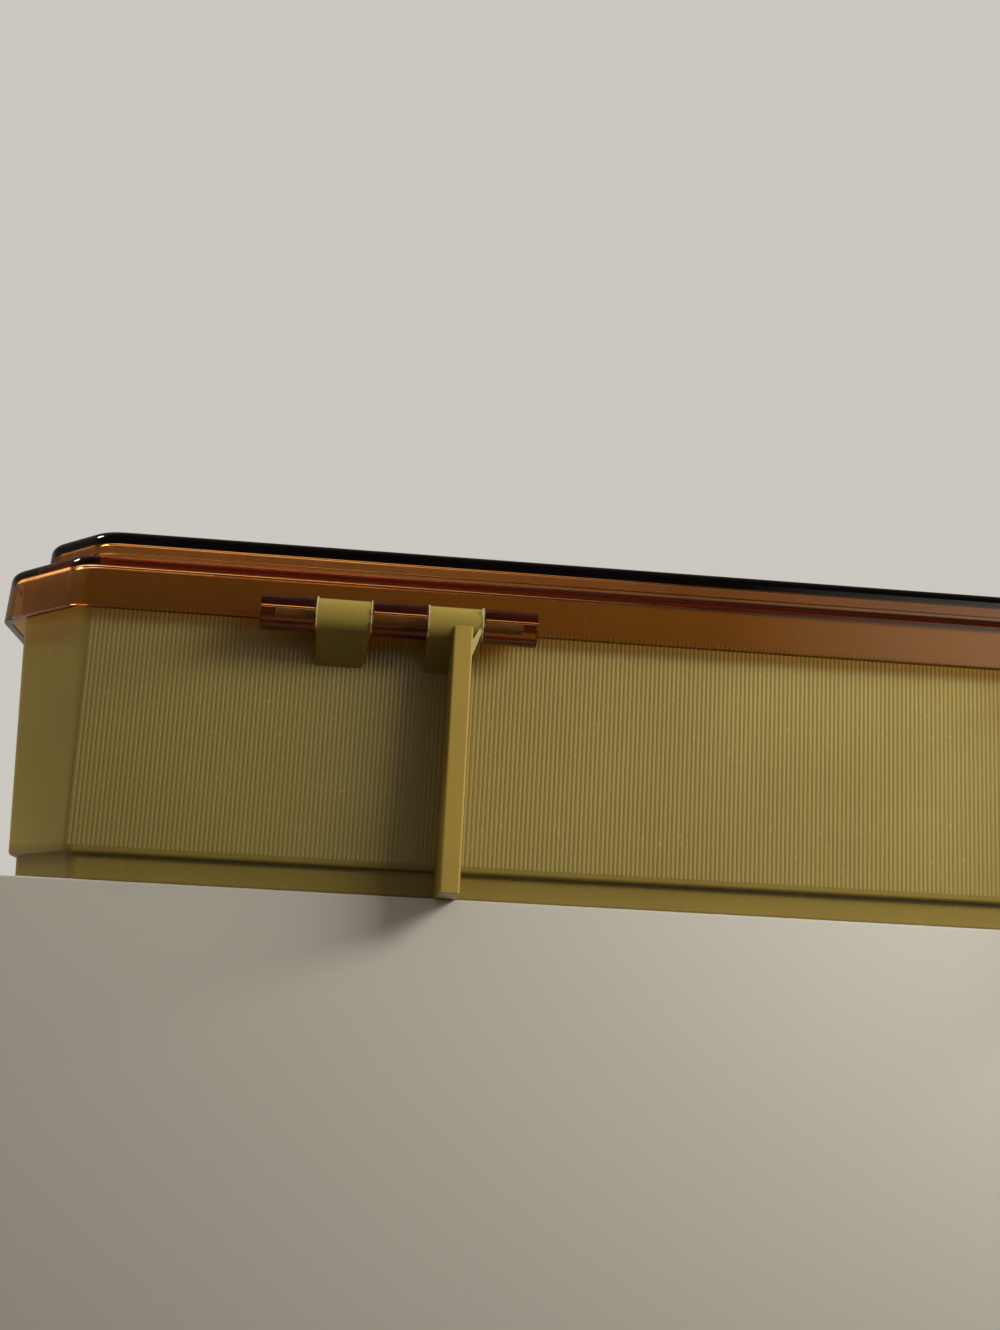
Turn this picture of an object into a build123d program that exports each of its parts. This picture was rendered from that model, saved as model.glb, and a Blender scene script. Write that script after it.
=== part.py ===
from build123d import *
import math
import os

# Floss storage box: a low eight-sided tub with a transparent stepped lid on two pin hinges,
# two lift-out trays with loose dividers, a folding handle and two snap latches.
# Millimetres. Origin at the centre of the underside, +Z up, front towards -Y, hinges at +Y.

# Outline, taken at the height of the lid's lower edge
RIM_LENGTH = 362.0
RIM_DEPTH = 236.0
RIM_CORNER = 17.5
DIAGONAL_GROWTH = 2.0 - math.sqrt(2.0)

# Tub
WALL_DRAFT = 2.7
WALL = 2.2
FLOOR = 2.4
BAND_HEIGHT = 5.8
BAND_INSET = 1.7
BAND_STEP = 1.8
TUB_TOP = 69.9
TUB_CORNER_RADIUS = 2.0
WALL_FOOT_RADIUS = 1.5
BAND_EDGE_RADIUS = 0.8

# Lid
LID_EDGE_Z = 59.8
LID_OVERHANG = 4.7
LID_FLARE = 3.0
LID_WALL = 2.0
LID_ROOF = 2.8
SKIRT_TOP = 72.2
TIER_SETBACK = 7.9
LID_TOP = 80.6
LID_CORNER_RADIUS = 5.0
LID_EDGE_RADIUS = 2.4

# Hinges, one towards each end of the back
HINGE_X = 93.0
HINGE_OFFSET = 9.6
KNUCKLE_WIDTH = 12.0
KNUCKLE_GAP = 0.35
KNUCKLE_RADIUS = 3.9
LUG_FOOT_DROP = 9.1
WEB_RISE = 5.4
HINGE_PIN_RADIUS = 1.25
HINGE_PIN_LENGTH = 55.0
RUNNING_CLEARANCE = 0.05

# Standing legs under the hinge, and the raised pad on the lid behind each hinge
LEG_X = 78.7
LEG_OFFSET = 13.85
LEG_WIDTH = 3.8
LEG_ROOT_WIDTH = 5.3
LEG_TOP_DROP = 1.1
PAD_LENGTH = 85.0
PAD_LOW = 1.2
PAD_HIGH = 9.0
PAD_RISE = 0.2

# Latches on the front of the lid, strikers on the tub
LATCH_X = 106.0
LATCH_PIVOT_Z = 66.0
LATCH_PIVOT_OUT = 9.2
LATCH_WIDTH = 26.0
LATCH_PLATE = 2.0
LATCH_DROP = 23.0
LATCH_BARREL_RADIUS = 2.8
LATCH_EAR = 2.6
LATCH_EAR_RADIUS = 3.2
LATCH_SIDE_GAP = 0.4
LATCH_PIN_RADIUS = 1.0
NOSE_TOP_DROP = 18.7
NOSE_HEIGHT = 2.2
NOSE_REACH = 2.3
STRIKER_OUT = 6.2
STRIKER_Z = 48.1
STRIKER_LIP = 1.5
STRIKER_HEIGHT = 5.0
STRIKER_WIDTH = 20.0

# Handle on the front of the tub
HANDLE_HALF = 69.0
HANDLE_ARM = 8.0
HANDLE_PIVOT_Z = 44.0
HANDLE_PIVOT_OUT = 6.75
HANDLE_LOW = 8.0
HANDLE_GRIP = 11.0
HANDLE_DEPTH = 7.0
HANDLE_BEND = 14.0
HANDLE_ROUND = 2.4
HANDLE_BOSS_RADIUS = 3.9
HANDLE_EAR = 3.0
HANDLE_EAR_RADIUS = 4.2
HANDLE_EAR_DROP = 7.0
HANDLE_SIDE_GAP = 0.35
HANDLE_PIN_RADIUS = 1.25

# Trays and their dividers
TRAY_INSET = 7.6
TRAY_MIDDLE_GAP = 0.5
TRAY_WALL = 1.6
TRAY_LOW = 37.8
TRAY_TOP = 66.0
TRAY_LANES = 3
SLOTTED_LANES = (0, 2)
SLOT_PITCH = 36.75
SLOT_STEPS = (-2, -1, 0, 1, 2)
SLOT_GAP = 2.0
SLOT_RIB = 1.2
SLOT_DEPTH = 1.3
SLOT_TOP_DROP = 2.0
SCOOP_WIDTH = 32.0
SCOOP_DEPTH = 9.0
DIVIDER_STEPS = (-1, 1)
DIVIDER_PLATE = 1.5
DIVIDER_SIDE_GAP = 0.35
DIVIDER_FOOT_GAP = 0.2
DIVIDER_TOP = 63.5
DIVIDER_NOTCH = 5.0

# What the trays rest on inside the tub
REST_TOP = 37.6
REST_PLATE = 2.0
REST_REACH = 169.9
REST_REACH_Y = 106.9
REST_END_Y = (-70.0, 0.0, 70.0)
REST_SIDE_X = (45.0, 130.0)

# Worked out from the sizes above
DRAFT_SLOPE = math.tan(math.radians(WALL_DRAFT))
FLARE_SLOPE = math.tan(math.radians(LID_FLARE))
HALF_LENGTH = RIM_LENGTH / 2
HALF_DEPTH = RIM_DEPTH / 2
HINGE_Y = HALF_DEPTH + HINGE_OFFSET
LATCH_Y = -(HALF_DEPTH + LATCH_PIVOT_OUT)
KNUCKLE_PITCH = KNUCKLE_WIDTH + KNUCKLE_GAP


def wall_grow(z):
    """How far the tub's outer wall stands outside the rim outline at height z."""
    return DRAFT_SLOPE * (z - LID_EDGE_Z)


def outline(grow, z):
    """Eight-sided face at height z, its sides standing `grow` outside the rim outline."""
    half_x = HALF_LENGTH + grow
    half_y = HALF_DEPTH + grow
    corner = RIM_CORNER + DIAGONAL_GROWTH * grow
    right = [
        (half_x - corner, -half_y),
        (half_x, -half_y + corner),
        (half_x, half_y - corner),
        (half_x - corner, half_y),
    ]
    left = [(-x, y) for x, y in reversed(right)]
    return Pos(0, 0, z) * make_face(Polyline(*right, *left, close=True))


def block_down(grow, z_high, z_low, lean):
    """Eight-sided block that narrows downwards by `lean` degrees a side."""
    return extrude(outline(grow, z_high), z_high - z_low, dir=(0, 0, -1), taper=lean)


def block_up(grow, z_low, z_high, lean):
    """Eight-sided block that narrows upwards by `lean` degrees a side."""
    return extrude(outline(grow, z_low), z_high - z_low, dir=(0, 0, 1), taper=lean)


def round_uprights(solid, radius):
    """Round the eight upright edges of a block."""
    uprights = [edge for edge in solid.edges() if abs((edge % 0.5).Z) > 0.5]
    return fillet(uprights, radius)


def round_rim(solid, z, radius):
    """Round every edge of a block that lies at height z."""
    level = [edge for edge in solid.edges() if abs(edge.center().Z - z) < 0.01 and abs((edge % 0.5).Z) < 0.01]
    return fillet(level, radius)


def bar(x_low, x_high, points):
    """Bar along X between two places, its section given as (y, z) points."""
    face = make_face(Polyline(*[(x_low, y, z) for y, z in points], close=True))
    return extrude(face, x_high - x_low, dir=(1, 0, 0))


def rod(x_low, x_high, y, z, radius):
    """Round bar along X."""
    return Pos((x_low + x_high) / 2, y, z) * Rot(0, 90, 0) * Cylinder(radius, x_high - x_low)


def block(low, high):
    """Plain box between two corners."""
    size = [b - a for a, b in zip(low, high)]
    middle = [(a + b) / 2 for a, b in zip(low, high)]
    return Pos(*middle) * Box(*size)


def mirror_x(solid):
    """The same solid on the other side of the middle plane."""
    return mirror(solid, about=Plane.YZ)


def knuckle_span(index, side):
    """X range of a hinge knuckle. Index 0 is nearest the end of the box, side is +1 or -1."""
    centre = HINGE_X + (2 - index) * KNUCKLE_PITCH
    low = centre - KNUCKLE_WIDTH / 2
    high = centre + KNUCKLE_WIDTH / 2
    return (low, high) if side > 0 else (-high, -low)


def tub_walls():
    """Outer form of wall and foot band, and the hollow inside them, right down through the floor."""
    upper = block_down(wall_grow(TUB_TOP), TUB_TOP, BAND_HEIGHT, WALL_DRAFT)
    upper = round_rim(round_uprights(upper, TUB_CORNER_RADIUS), BAND_HEIGHT, WALL_FOOT_RADIUS)
    band = block_down(wall_grow(BAND_HEIGHT) - BAND_INSET, BAND_HEIGHT + 0.2, 0.0, WALL_DRAFT)
    band = round_rim(round_uprights(band, TUB_CORNER_RADIUS), 0.0, BAND_EDGE_RADIUS)
    hollow_foot = BAND_HEIGHT + BAND_STEP
    hollow = block_down(wall_grow(TUB_TOP) - WALL, TUB_TOP, hollow_foot, WALL_DRAFT)
    hollow += block_down(wall_grow(hollow_foot) - WALL - BAND_INSET, hollow_foot, 0.0, WALL_DRAFT)
    return upper + band, hollow


def tub_floor(hollow):
    """Floor plate between the walls, flush with the underside of the foot band."""
    slab = block((-HALF_LENGTH, -HALF_DEPTH, 0.0), (HALF_LENGTH, HALF_DEPTH, FLOOR))
    return slab & hollow


def tray_partition(hollow):
    """Upright plate across the middle of the tub that carries the inner edges of both trays."""
    plate = block((-REST_PLATE / 2, -HALF_DEPTH, FLOOR), (REST_PLATE / 2, HALF_DEPTH, REST_TOP))
    return plate & hollow


def tray_rest_ribs(hollow):
    """Upright ribs against the tub's walls, all level, that carry the outer edges of the trays."""
    ribs = []
    half = REST_PLATE / 2
    for side in (-1, 1):
        x_low, x_high = sorted((side * REST_REACH, side * HALF_LENGTH))
        for y in REST_END_Y:
            ribs.append(block((x_low, y - half, FLOOR), (x_high, y + half, REST_TOP)))
        y_low, y_high = sorted((side * REST_REACH_Y, side * HALF_DEPTH))
        for end in (-1, 1):
            for x in REST_SIDE_X:
                ribs.append(block((end * x - half, y_low, FLOOR), (end * x + half, y_high, REST_TOP)))
    return (Part() + ribs) & hollow


def tub_knuckle(side, index):
    """Tub hinge knuckle: a barrel on a lug that slopes in to the wall below the lid's edge."""
    x_low, x_high = knuckle_span(index, side)
    foot = LID_EDGE_Z - LUG_FOOT_DROP
    foot_y = HALF_DEPTH + wall_grow(foot)
    slope = math.atan2(LUG_FOOT_DROP, HINGE_Y - foot_y)
    slope -= math.asin(KNUCKLE_RADIUS / math.hypot(LUG_FOOT_DROP, HINGE_Y - foot_y))
    inside = HALF_DEPTH - WALL / 2
    lug = bar(x_low, x_high, [
        (inside, foot),
        (foot_y, foot),
        (HINGE_Y + KNUCKLE_RADIUS * math.sin(slope), LID_EDGE_Z - KNUCKLE_RADIUS * math.cos(slope)),
        (HINGE_Y, LID_EDGE_Z),
        (HINGE_Y - 3.2, LID_EDGE_Z - 0.6),
        (inside, LID_EDGE_Z - 0.6),
    ])
    return lug + rod(x_low, x_high, HINGE_Y, LID_EDGE_Z, KNUCKLE_RADIUS)


def standing_leg(side):
    """Upright rib under the inner tub knuckle, wider at its root, down to the level of the underside."""
    face_y = HALF_DEPTH + LEG_OFFSET
    root_y = HALF_DEPTH - WALL - 2.2
    centre = side * LEG_X
    plan = make_face(Polyline(
        (centre - LEG_ROOT_WIDTH / 2, root_y),
        (centre + LEG_ROOT_WIDTH / 2, root_y),
        (centre + LEG_WIDTH / 2, face_y),
        (centre - LEG_WIDTH / 2, face_y),
        close=True,
    ))
    return extrude(plan, LID_EDGE_Z - LEG_TOP_DROP, dir=(0, 0, 1))


def striker(side):
    """Ledge on the tub's front wall that a latch hooks under."""
    edge_y = -(HALF_DEPTH + STRIKER_OUT)
    inside = -(HALF_DEPTH - WALL / 2 - 0.6)
    return bar(side * LATCH_X - STRIKER_WIDTH / 2, side * LATCH_X + STRIKER_WIDTH / 2, [
        (inside, STRIKER_Z),
        (edge_y, STRIKER_Z),
        (edge_y, STRIKER_Z + STRIKER_LIP),
        (inside, STRIKER_Z + STRIKER_HEIGHT),
    ])


def handle_pivot_y():
    """Y of the handle's pivot, out from the drafted front wall."""
    return -(HALF_DEPTH + wall_grow(HANDLE_PIVOT_Z) + HANDLE_PIVOT_OUT)


def handle_ear_spans(side):
    """X ranges of the two ears that hold one arm of the handle."""
    inner_high = HANDLE_HALF - HANDLE_ARM - HANDLE_SIDE_GAP
    outer_low = HANDLE_HALF + HANDLE_SIDE_GAP
    spans = [(inner_high - HANDLE_EAR, inner_high), (outer_low, outer_low + HANDLE_EAR)]
    return spans if side > 0 else [(-high, -low) for low, high in spans]


def handle_ear(span):
    """Ear on the front wall with a round end at the handle's pivot."""
    y = handle_pivot_y()
    inside = -(HALF_DEPTH - WALL / 2 - 1.0)
    plate = bar(*span, [
        (inside, HANDLE_PIVOT_Z - HANDLE_EAR_DROP),
        (y + 1.5, HANDLE_PIVOT_Z - HANDLE_EAR_RADIUS + 0.4),
        (y, HANDLE_PIVOT_Z),
        (y + 1.5, HANDLE_PIVOT_Z + HANDLE_EAR_RADIUS - 0.4),
        (inside, HANDLE_PIVOT_Z + HANDLE_EAR_DROP),
    ])
    return plate + rod(*span, y, HANDLE_PIVOT_Z, HANDLE_EAR_RADIUS)


def base_tub(envelope, hollow):
    """The moulded tub without its floor plate."""
    outside = envelope
    for side in (-1, 1):
        for index in (1, 3):
            outside += tub_knuckle(side, index)
        outside += standing_leg(side)
        outside += striker(side)
        for span in handle_ear_spans(side):
            outside += handle_ear(span)
    tub = outside - hollow
    for side in (-1, 1):
        low, high = sorted((side * (HINGE_X - 40), side * (HINGE_X + 40)))
        tub -= rod(low, high, HINGE_Y, LID_EDGE_Z, HINGE_PIN_RADIUS + RUNNING_CLEARANCE)
        for span in handle_ear_spans(side):
            tub -= rod(span[0] - 1, span[1] + 1, handle_pivot_y(), HANDLE_PIVOT_Z, HANDLE_PIN_RADIUS)
    return tub


def lid_knuckle(side, index):
    """Lid hinge knuckle: a barrel joined to the skirt by a short web."""
    x_low, x_high = knuckle_span(index, side)
    inside = HALF_DEPTH + LID_OVERHANG - LID_WALL / 2 - 0.4
    web = bar(x_low, x_high, [
        (inside, LID_EDGE_Z + 0.2),
        (inside, LID_EDGE_Z + WEB_RISE),
        (HINGE_Y - 2.6, LID_EDGE_Z + WEB_RISE - 0.7),
        (HINGE_Y + KNUCKLE_RADIUS * 0.5, LID_EDGE_Z + KNUCKLE_RADIUS * 0.866),
        (HINGE_Y, LID_EDGE_Z + 0.2),
    ])
    return web + rod(x_low, x_high, HINGE_Y, LID_EDGE_Z, KNUCKLE_RADIUS)


def hinge_pad(side):
    """Slightly raised pad on the skirt behind a hinge."""
    low_z = LID_EDGE_Z + PAD_LOW
    high_z = LID_EDGE_Z + PAD_HIGH
    face_low = HALF_DEPTH + LID_OVERHANG - FLARE_SLOPE * PAD_LOW
    face_high = HALF_DEPTH + LID_OVERHANG - FLARE_SLOPE * PAD_HIGH
    centre = side * HINGE_X
    return bar(centre - PAD_LENGTH / 2, centre + PAD_LENGTH / 2, [
        (face_low - 0.8, low_z),
        (face_low + PAD_RISE, low_z),
        (face_high + PAD_RISE, high_z),
        (face_high - 0.8, high_z),
    ])


def latch_ear_spans(side):
    """X ranges of the two lid ears that hold a latch."""
    half = LATCH_WIDTH / 2 + LATCH_SIDE_GAP
    centre = side * LATCH_X
    return [(centre - half - LATCH_EAR, centre - half), (centre + half, centre + half + LATCH_EAR)]


def latch_ear(span):
    """Ear on the front of the skirt with a round end at the latch's pivot."""
    inside = -(HALF_DEPTH + LID_OVERHANG - LID_WALL / 2 - 0.4)
    plate = bar(*span, [
        (inside, LATCH_PIVOT_Z - 5.4),
        (LATCH_Y + 1.6, LATCH_PIVOT_Z - LATCH_EAR_RADIUS + 0.5),
        (LATCH_Y, LATCH_PIVOT_Z),
        (LATCH_Y + 1.6, LATCH_PIVOT_Z + LATCH_EAR_RADIUS - 0.4),
        (inside, LATCH_PIVOT_Z + LATCH_EAR_RADIUS - 0.4),
    ])
    return plate + rod(*span, LATCH_Y, LATCH_PIVOT_Z, LATCH_EAR_RADIUS)


def lid_tiers(inward, z_low, ledge_z, roof_z):
    """Two-step lid form, its faces moved in by `inward`, with its ledge and its roof at the given heights."""
    skirt = block_up(LID_OVERHANG - inward + FLARE_SLOPE * (LID_EDGE_Z - z_low), z_low, ledge_z, LID_FLARE)
    tier_foot = ledge_z - 0.1
    tier = block_up(LID_OVERHANG - TIER_SETBACK - inward, tier_foot, roof_z, LID_FLARE)
    radius = LID_CORNER_RADIUS - inward
    edge = LID_EDGE_RADIUS - inward / 2
    skirt = round_rim(round_uprights(skirt, radius), ledge_z, edge)
    tier = round_rim(round_uprights(tier, radius), roof_z, edge)
    return skirt + tier


def lid_shell():
    """Transparent stepped lid with its knuckles, pads and latch ears."""
    lid = lid_tiers(0.0, LID_EDGE_Z, SKIRT_TOP, LID_TOP)
    lid -= lid_tiers(LID_WALL, LID_EDGE_Z - 1.0, SKIRT_TOP - LID_WALL, LID_TOP - LID_ROOF)
    for side in (-1, 1):
        for index in (0, 2, 4):
            lid += lid_knuckle(side, index)
        lid += hinge_pad(side)
        for span in latch_ear_spans(side):
            lid += latch_ear(span)
    for side in (-1, 1):
        low, high = hinge_pin_span(side)
        lid -= rod(low, high, HINGE_Y, LID_EDGE_Z, HINGE_PIN_RADIUS)
        for span in latch_ear_spans(side):
            lid -= rod(span[0] - 1, span[1] + 1, LATCH_Y, LATCH_PIVOT_Z, LATCH_PIN_RADIUS)
    return lid


def hinge_pin_span(side):
    """X range of a hinge pin, hidden inside the outer knuckles."""
    centre = side * HINGE_X
    return centre - HINGE_PIN_LENGTH / 2, centre + HINGE_PIN_LENGTH / 2


def hinge_pin(side):
    """Steel pin through the five knuckles of one hinge."""
    return rod(*hinge_pin_span(side), HINGE_Y, LID_EDGE_Z, HINGE_PIN_RADIUS)


def latch(side):
    """Snap latch: barrel, hanging plate, hook nose inwards and finger lip outwards."""
    centre = side * LATCH_X
    low = centre - LATCH_WIDTH / 2
    high = centre + LATCH_WIDTH / 2
    inner = LATCH_Y + LATCH_PLATE / 2
    outer = LATCH_Y - LATCH_PLATE / 2
    foot = LATCH_PIVOT_Z - LATCH_DROP
    nose_top = LATCH_PIVOT_Z - NOSE_TOP_DROP
    body = bar(low, high, [
        (outer, LATCH_PIVOT_Z),
        (outer, foot + 2.4),
        (outer - 3.0, foot + 0.4),
        (outer - 3.0, foot - 1.0),
        (inner, foot),
        (inner, nose_top - NOSE_HEIGHT),
        (LATCH_Y + NOSE_REACH, nose_top - NOSE_HEIGHT * 0.4),
        (LATCH_Y + NOSE_REACH, nose_top),
        (inner, nose_top),
        (inner, LATCH_PIVOT_Z),
    ])
    barrel = rod(low, high, LATCH_Y, LATCH_PIVOT_Z, LATCH_BARREL_RADIUS)
    bore = rod(low - 1, high + 1, LATCH_Y, LATCH_PIVOT_Z, LATCH_PIN_RADIUS + RUNNING_CLEARANCE)
    return (body + barrel) - bore


def latch_pin(side):
    """Steel pin through a latch and its two ears."""
    spans = latch_ear_spans(side)
    return rod(spans[0][0], spans[1][1], LATCH_Y, LATCH_PIVOT_Z, LATCH_PIN_RADIUS)


def carry_handle():
    """Bail handle that hangs in front of the tub: two arms and a rounded grip."""
    y = handle_pivot_y()
    height = HANDLE_PIVOT_Z - HANDLE_LOW
    outer = RectangleRounded(2 * HANDLE_HALF, 2 * height, HANDLE_BEND)
    gap_half = HANDLE_HALF - HANDLE_ARM
    gap = RectangleRounded(2 * gap_half, 2 * (height - HANDLE_GRIP), HANDLE_BEND - HANDLE_ARM + 2.0)
    above = Pos(0, height / 2) * Rectangle(3 * HANDLE_HALF, height)
    plate = extrude(Plane.XZ * (outer - gap - above), HANDLE_DEPTH / 2, both=True)
    bend = Pos(0, y, HANDLE_PIVOT_Z) * plate
    edges = [edge for edge in bend.edges() if abs(edge.center().Y - y) > HANDLE_DEPTH / 2 - 0.1
             and edge.center().Z < HANDLE_PIVOT_Z - 0.1]
    handle = fillet(edges, HANDLE_ROUND)
    for side in (-1, 1):
        low, high = sorted((side * (HANDLE_HALF - HANDLE_ARM), side * HANDLE_HALF))
        handle += rod(low, high, y, HANDLE_PIVOT_Z, HANDLE_BOSS_RADIUS)
        handle -= rod(low - 1, high + 1, y, HANDLE_PIVOT_Z, HANDLE_PIN_RADIUS + RUNNING_CLEARANCE)
    return handle


def handle_pin(side):
    """Steel pin through two ears and the arm between them."""
    spans = sorted(handle_ear_spans(side))
    return rod(spans[0][0], spans[1][1], handle_pivot_y(), HANDLE_PIVOT_Z, HANDLE_PIN_RADIUS)


def lane_spans():
    """X ranges of the three lanes inside the right-hand tray."""
    inner_low = TRAY_MIDDLE_GAP + TRAY_WALL
    inner_high = HALF_LENGTH - TRAY_INSET - TRAY_WALL
    lane = (inner_high - inner_low - (TRAY_LANES - 1) * TRAY_WALL) / TRAY_LANES
    lows = [inner_low + k * (lane + TRAY_WALL) for k in range(TRAY_LANES)]
    return [(low, low + lane) for low in lows]


def half_outline(inward, z):
    """Right-hand half of the box outline for a tray, its outer sides moved in by `inward`."""
    whole = outline(-TRAY_INSET - inward, z)
    keep_low = TRAY_MIDDLE_GAP + inward
    return whole & (Pos(keep_low + HALF_LENGTH / 2, 0, z) * Rectangle(HALF_LENGTH, RIM_DEPTH))


def tray_right():
    """Lift-out tray with three lanes, slot ribs in the outer and inner lane and a finger scoop."""
    shell = extrude(half_outline(0.0, TRAY_LOW), TRAY_TOP - TRAY_LOW, dir=(0, 0, 1))
    floor_top = TRAY_LOW + TRAY_WALL
    inside = extrude(half_outline(TRAY_WALL, floor_top), TRAY_TOP - floor_top, dir=(0, 0, 1))
    lanes = lane_spans()
    slot_top = TRAY_TOP - SLOT_TOP_DROP
    walls = []
    for low, high in zip([lane[1] for lane in lanes[:-1]], [lane[0] for lane in lanes[1:]]):
        walls.append(block((low, -HALF_DEPTH, floor_top), (high, HALF_DEPTH, slot_top)))
    for lane in SLOTTED_LANES:
        low, high = lanes[lane]
        for step in SLOT_STEPS:
            for way in (-1, 1):
                y_near = step * SLOT_PITCH + way * SLOT_GAP / 2
                y_low, y_high = sorted((y_near, y_near + way * SLOT_RIB))
                walls.append(block((low, y_low, floor_top), (low + SLOT_DEPTH, y_high, slot_top)))
                walls.append(block((high - SLOT_DEPTH, y_low, floor_top), (high, y_high, slot_top)))
    filling = inside & (Part() + walls)
    tray = (shell - inside) + filling
    scoop = Pos(0, 0, TRAY_TOP + SCOOP_WIDTH / 2 - SCOOP_DEPTH) * Rot(0, 90, 0) * Cylinder(SCOOP_WIDTH / 2, 8.0)
    return tray - scoop


def divider(lane, step):
    """Loose cross divider in one lane of the right-hand tray, with a thumb notch."""
    low, high = lane_spans()[lane]
    y = step * SLOT_PITCH
    foot = TRAY_LOW + TRAY_WALL + DIVIDER_FOOT_GAP
    plate = block((low + DIVIDER_SIDE_GAP, y - DIVIDER_PLATE / 2, foot),
                  (high - DIVIDER_SIDE_GAP, y + DIVIDER_PLATE / 2, DIVIDER_TOP))
    notch_radius = 16.0
    notch = Pos((low + high) / 2, y, DIVIDER_TOP + notch_radius - DIVIDER_NOTCH) * Rot(90, 0, 0)
    return plate - notch * Cylinder(notch_radius, 4 * DIVIDER_PLATE)


def write(node, solid):
    """Write one sub-part."""
    export_step(solid, f"parts/{node}.step")


os.makedirs("parts", exist_ok=True)
tub_envelope, tub_hollow = tub_walls()
write("base_tub", base_tub(tub_envelope, tub_hollow))
write("tub_floor", tub_floor(tub_hollow))
write("tray_partition", tray_partition(tub_hollow))
write("tray_rest_ribs", tray_rest_ribs(tub_hollow))
write("lid_shell", lid_shell())
write("carry_handle", carry_handle())
right_tray = tray_right()
write("tray_right", right_tray)
write("tray_left", mirror_x(right_tray))
for name, side in (("right", 1), ("left", -1)):
    write(f"hinge_pin_{name}", hinge_pin(side))
    write(f"latch_{name}", latch(side))
    write(f"latch_pin_{name}", latch_pin(side))
    write(f"handle_pin_{name}", handle_pin(side))
for lane, lane_name in zip(SLOTTED_LANES, ("inner", "outer")):
    for step, place in zip(DIVIDER_STEPS, ("front", "back")):
        plate = divider(lane, step)
        write(f"divider_right_{lane_name}_{place}", plate)
        write(f"divider_left_{lane_name}_{place}", mirror_x(plate))
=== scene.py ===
"""Looks of the floss storage box, dressed round its packed construction model.

Lengths in the dataclasses are millimetres, and every mesh is written in metres in the shared frame:
origin at the centre of the underside, +Z up, front towards -Y, hinges at +Y.
"""
from __future__ import annotations

import logging
import math
from dataclasses import dataclass, field, replace
from enum import Enum
from typing import Iterable, Sequence

import bmesh
import bpy
from mathutils import Euler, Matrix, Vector

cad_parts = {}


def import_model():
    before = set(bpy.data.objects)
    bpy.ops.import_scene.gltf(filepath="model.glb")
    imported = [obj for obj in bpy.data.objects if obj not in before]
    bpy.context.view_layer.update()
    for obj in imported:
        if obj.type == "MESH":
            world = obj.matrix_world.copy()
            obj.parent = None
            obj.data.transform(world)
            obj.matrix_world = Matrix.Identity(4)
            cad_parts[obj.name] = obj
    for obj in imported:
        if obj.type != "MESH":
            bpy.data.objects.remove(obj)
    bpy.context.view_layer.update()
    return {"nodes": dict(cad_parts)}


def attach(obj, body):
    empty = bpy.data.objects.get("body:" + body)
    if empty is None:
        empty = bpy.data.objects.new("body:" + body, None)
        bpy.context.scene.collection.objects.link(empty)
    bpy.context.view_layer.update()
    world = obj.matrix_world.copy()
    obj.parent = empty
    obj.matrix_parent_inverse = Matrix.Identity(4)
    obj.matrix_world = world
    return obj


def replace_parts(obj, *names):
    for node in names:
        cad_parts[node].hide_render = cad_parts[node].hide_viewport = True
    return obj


log = logging.getLogger("floss_box")

MM = 0.001
Point = tuple[float, float]
Place = tuple[float, float, float]
Solid = tuple[list[Place], list[tuple[int, ...]]]
Socket = bpy.types.NodeSocket
Material = bpy.types.Material
Piece = bpy.types.Object
# Edges that bend more than this are shaded sharp, on moulded pieces and on rows of beads or ribs.
SMOOTH_ANGLE = math.radians(32)
RIB_SMOOTH_ANGLE = math.radians(60)
# Where a softened edge has its middle ring, as a share of its size.
EDGE_SHARE = 0.3
# The most of a side that the rounding of a corner takes up.
SIDE_SHARE = 0.49
# Weighting that lets the largest faces set the shading.
FLAT_FIRST = 100
# Points across the crest of one bead.
BEAD_POINTS = 6
# First and last angle of an ear's round front, in degrees, and its straight steps.
EYE_TURN = (75.0, 285.0)
EYE_STEPS = 26


class Side(Enum):
    """Which end of the box a paired piece belongs to, as seen from the front."""

    RIGHT = 1
    LEFT = -1

    @property
    def word(self) -> str:
        """The side's name as it stands in the node names."""
        return self.name.lower()


class Run(Enum):
    """The way a section is pushed out into a bar."""

    ALONG_X = "x"
    ALONG_Y = "y"
    ALONG_Z = "z"


class Lane(Enum):
    """The slotted lanes of a tray, counted from the middle of the box."""

    INNER = 0
    OUTER = 2

    @property
    def word(self) -> str:
        """The lane's name as it stands in the node names."""
        return self.name.lower()


class Wall(Enum):
    """The four long panels of the tub, each with its turn about the upright axis."""

    BACK = 0.0
    LEFT = math.pi / 2
    FRONT = math.pi
    RIGHT = -math.pi / 2


def area(points: Sequence[Point]) -> float:
    """Signed area of a closed outline, positive when it runs anticlockwise."""
    return 0.5 * sum(a[0] * b[1] - b[0] * a[1] for a, b in zip(points, [*points[1:], points[0]]))


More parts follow.
